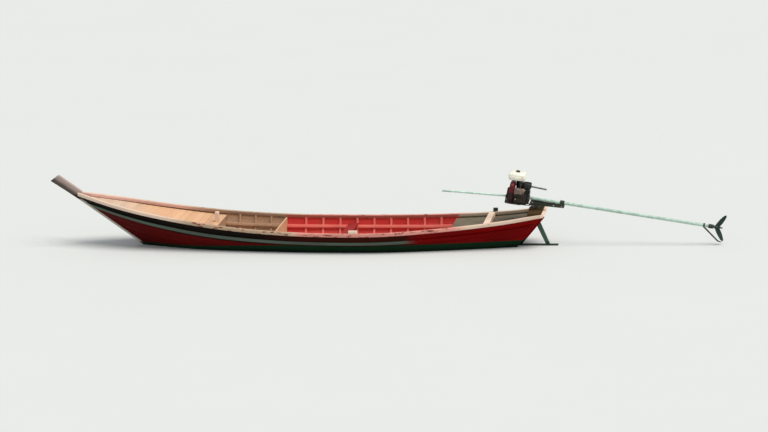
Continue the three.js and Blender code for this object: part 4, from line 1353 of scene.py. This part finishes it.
class LONGTAIL_PG_hull(bpy.types.PropertyGroup):
    """Paints, woods and boards of the hull."""
    red: colour("Hull red", "Paint of the planking above the waterline", (0.165, 0.0007, 0.0010))
    black: colour("Top strake", "Paint of the strake under the rail", (0.0065, 0.0042, 0.0030))
    green: colour("Bottom paint", "Paint below the waterline and a little above it",
                  (0.0048, 0.0250, 0.0100))
    stripe: colour("Stripe", "Paint of the rubbing strake", (0.098, 0.128, 0.100))
    cream: colour("Rail cream", "Cap rails at bow and stern, post, block and beams", (0.82, 0.62, 0.48))
    pink: colour("Rail pink", "Cap rails amidships", (0.80, 0.335, 0.275))
    peach: colour("Deck peach", "Foredeck and middle bulkhead", (0.78, 0.465, 0.275))
    hold: colour("Hold red", "Inside of the hold", (0.68, 0.050, 0.044))
    wood: colour("Bare wood", "Well and floors", (0.66, 0.385, 0.225))
    grey: colour("Weathered wood", "Stern deck", (0.240, 0.195, 0.130))
    board: number("Deck board", "Width of a foredeck board", 0.115, min=0.06, max=0.3,
                  unit="LENGTH", subtype="DISTANCE")


class LONGTAIL_PG_engine(bpy.types.PropertyGroup):
    """Paints and metals of the engine."""
    shroud: colour("Shroud", "Fan housing and starter cover", (0.125, 0.011, 0.013))
    tank: colour("Tank", "Fuel tank", (1.0, 0.97, 0.82))
    frame: colour("Frame", "Steel frame and fork", (0.022, 0.030, 0.018))
    alloy: colour("Castings", "Crankcase and cylinder", (0.22, 0.165, 0.125))
    pipe: colour("Pipe", "Tail tube", (0.50, 0.67, 0.57))
    mint: colour("Mint", "Steering pole and grip", (0.60, 0.84, 0.72))


class LONGTAIL_PG_stage(bpy.types.PropertyGroup):
    """Camera, floor and lights."""
    aim: three("Aim", "Point in the middle of the view", (-0.94, 0, 0.5), subtype="TRANSLATION",
               unit="LENGTH")
    distance: number("Distance", "From the aim to the camera", 54, min=10, unit="LENGTH",
                     subtype="DISTANCE")
    lens: number("Lens", "Focal length in millimetres", 148, min=20, subtype="DISTANCE_CAMERA",
                 unit="CAMERA")
    floor: colour("Floor", "Colour of the floor", (0.70, 0.72, 0.71))
    sky: number("Sky", "Strength of the light from all round", 0.50)
    key: number("Key", "Strength of the light from above", 2.5)
    key_from: three("Key from", "Direction the main light comes from", (-0.45, 0.15, 1),
                    subtype="DIRECTION")


class LONGTAIL_PT_panel(bpy.types.Panel):
    """Lists the boat's operators and settings."""
    bl_idname = "LONGTAIL_PT_panel"
    bl_label = "Longtail boat"
    bl_space_type = "VIEW_3D"
    bl_region_type = "UI"
    bl_category = "Longtail"

    def draw(self, context):
        layout = self.layout
        for operator in OPERATORS:
            layout.operator(operator.bl_idname)
        for name, group in GROUPS.items():
            box = layout.box()
            for key in group.__annotations__:
                box.prop(getattr(context.scene, name), key)


OPERATORS = BoatOperator.__subclasses__()
GROUPS = {
    "longtail_hull": LONGTAIL_PG_hull,
    "longtail_engine": LONGTAIL_PG_engine,
    "longtail_stage": LONGTAIL_PG_stage,
}


def register():
    for cls in (*GROUPS.values(), *OPERATORS, LONGTAIL_PT_panel):
        bpy.utils.register_class(cls)
    for name, group in GROUPS.items():
        setattr(bpy.types.Scene, name, PointerProperty(type=group))


def unregister():
    for name in GROUPS:
        delattr(bpy.types.Scene, name)
    for cls in (LONGTAIL_PT_panel, *OPERATORS[::-1], *GROUPS.values()):
        bpy.utils.unregister_class(cls)


def main():
    """Builds the whole boat and measures its size beside the CAD model's."""
    register()
    for operator in OPERATORS:
        group, name = operator.bl_idname.split(".")
        getattr(getattr(bpy.ops, group), name)()
    sizes = {"cad": CAD_BOX, "visual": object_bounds()}
    plain = {key: [list(corner) for corner in box] for key, box in sizes.items()}


if __name__ == "__main__":
    main()
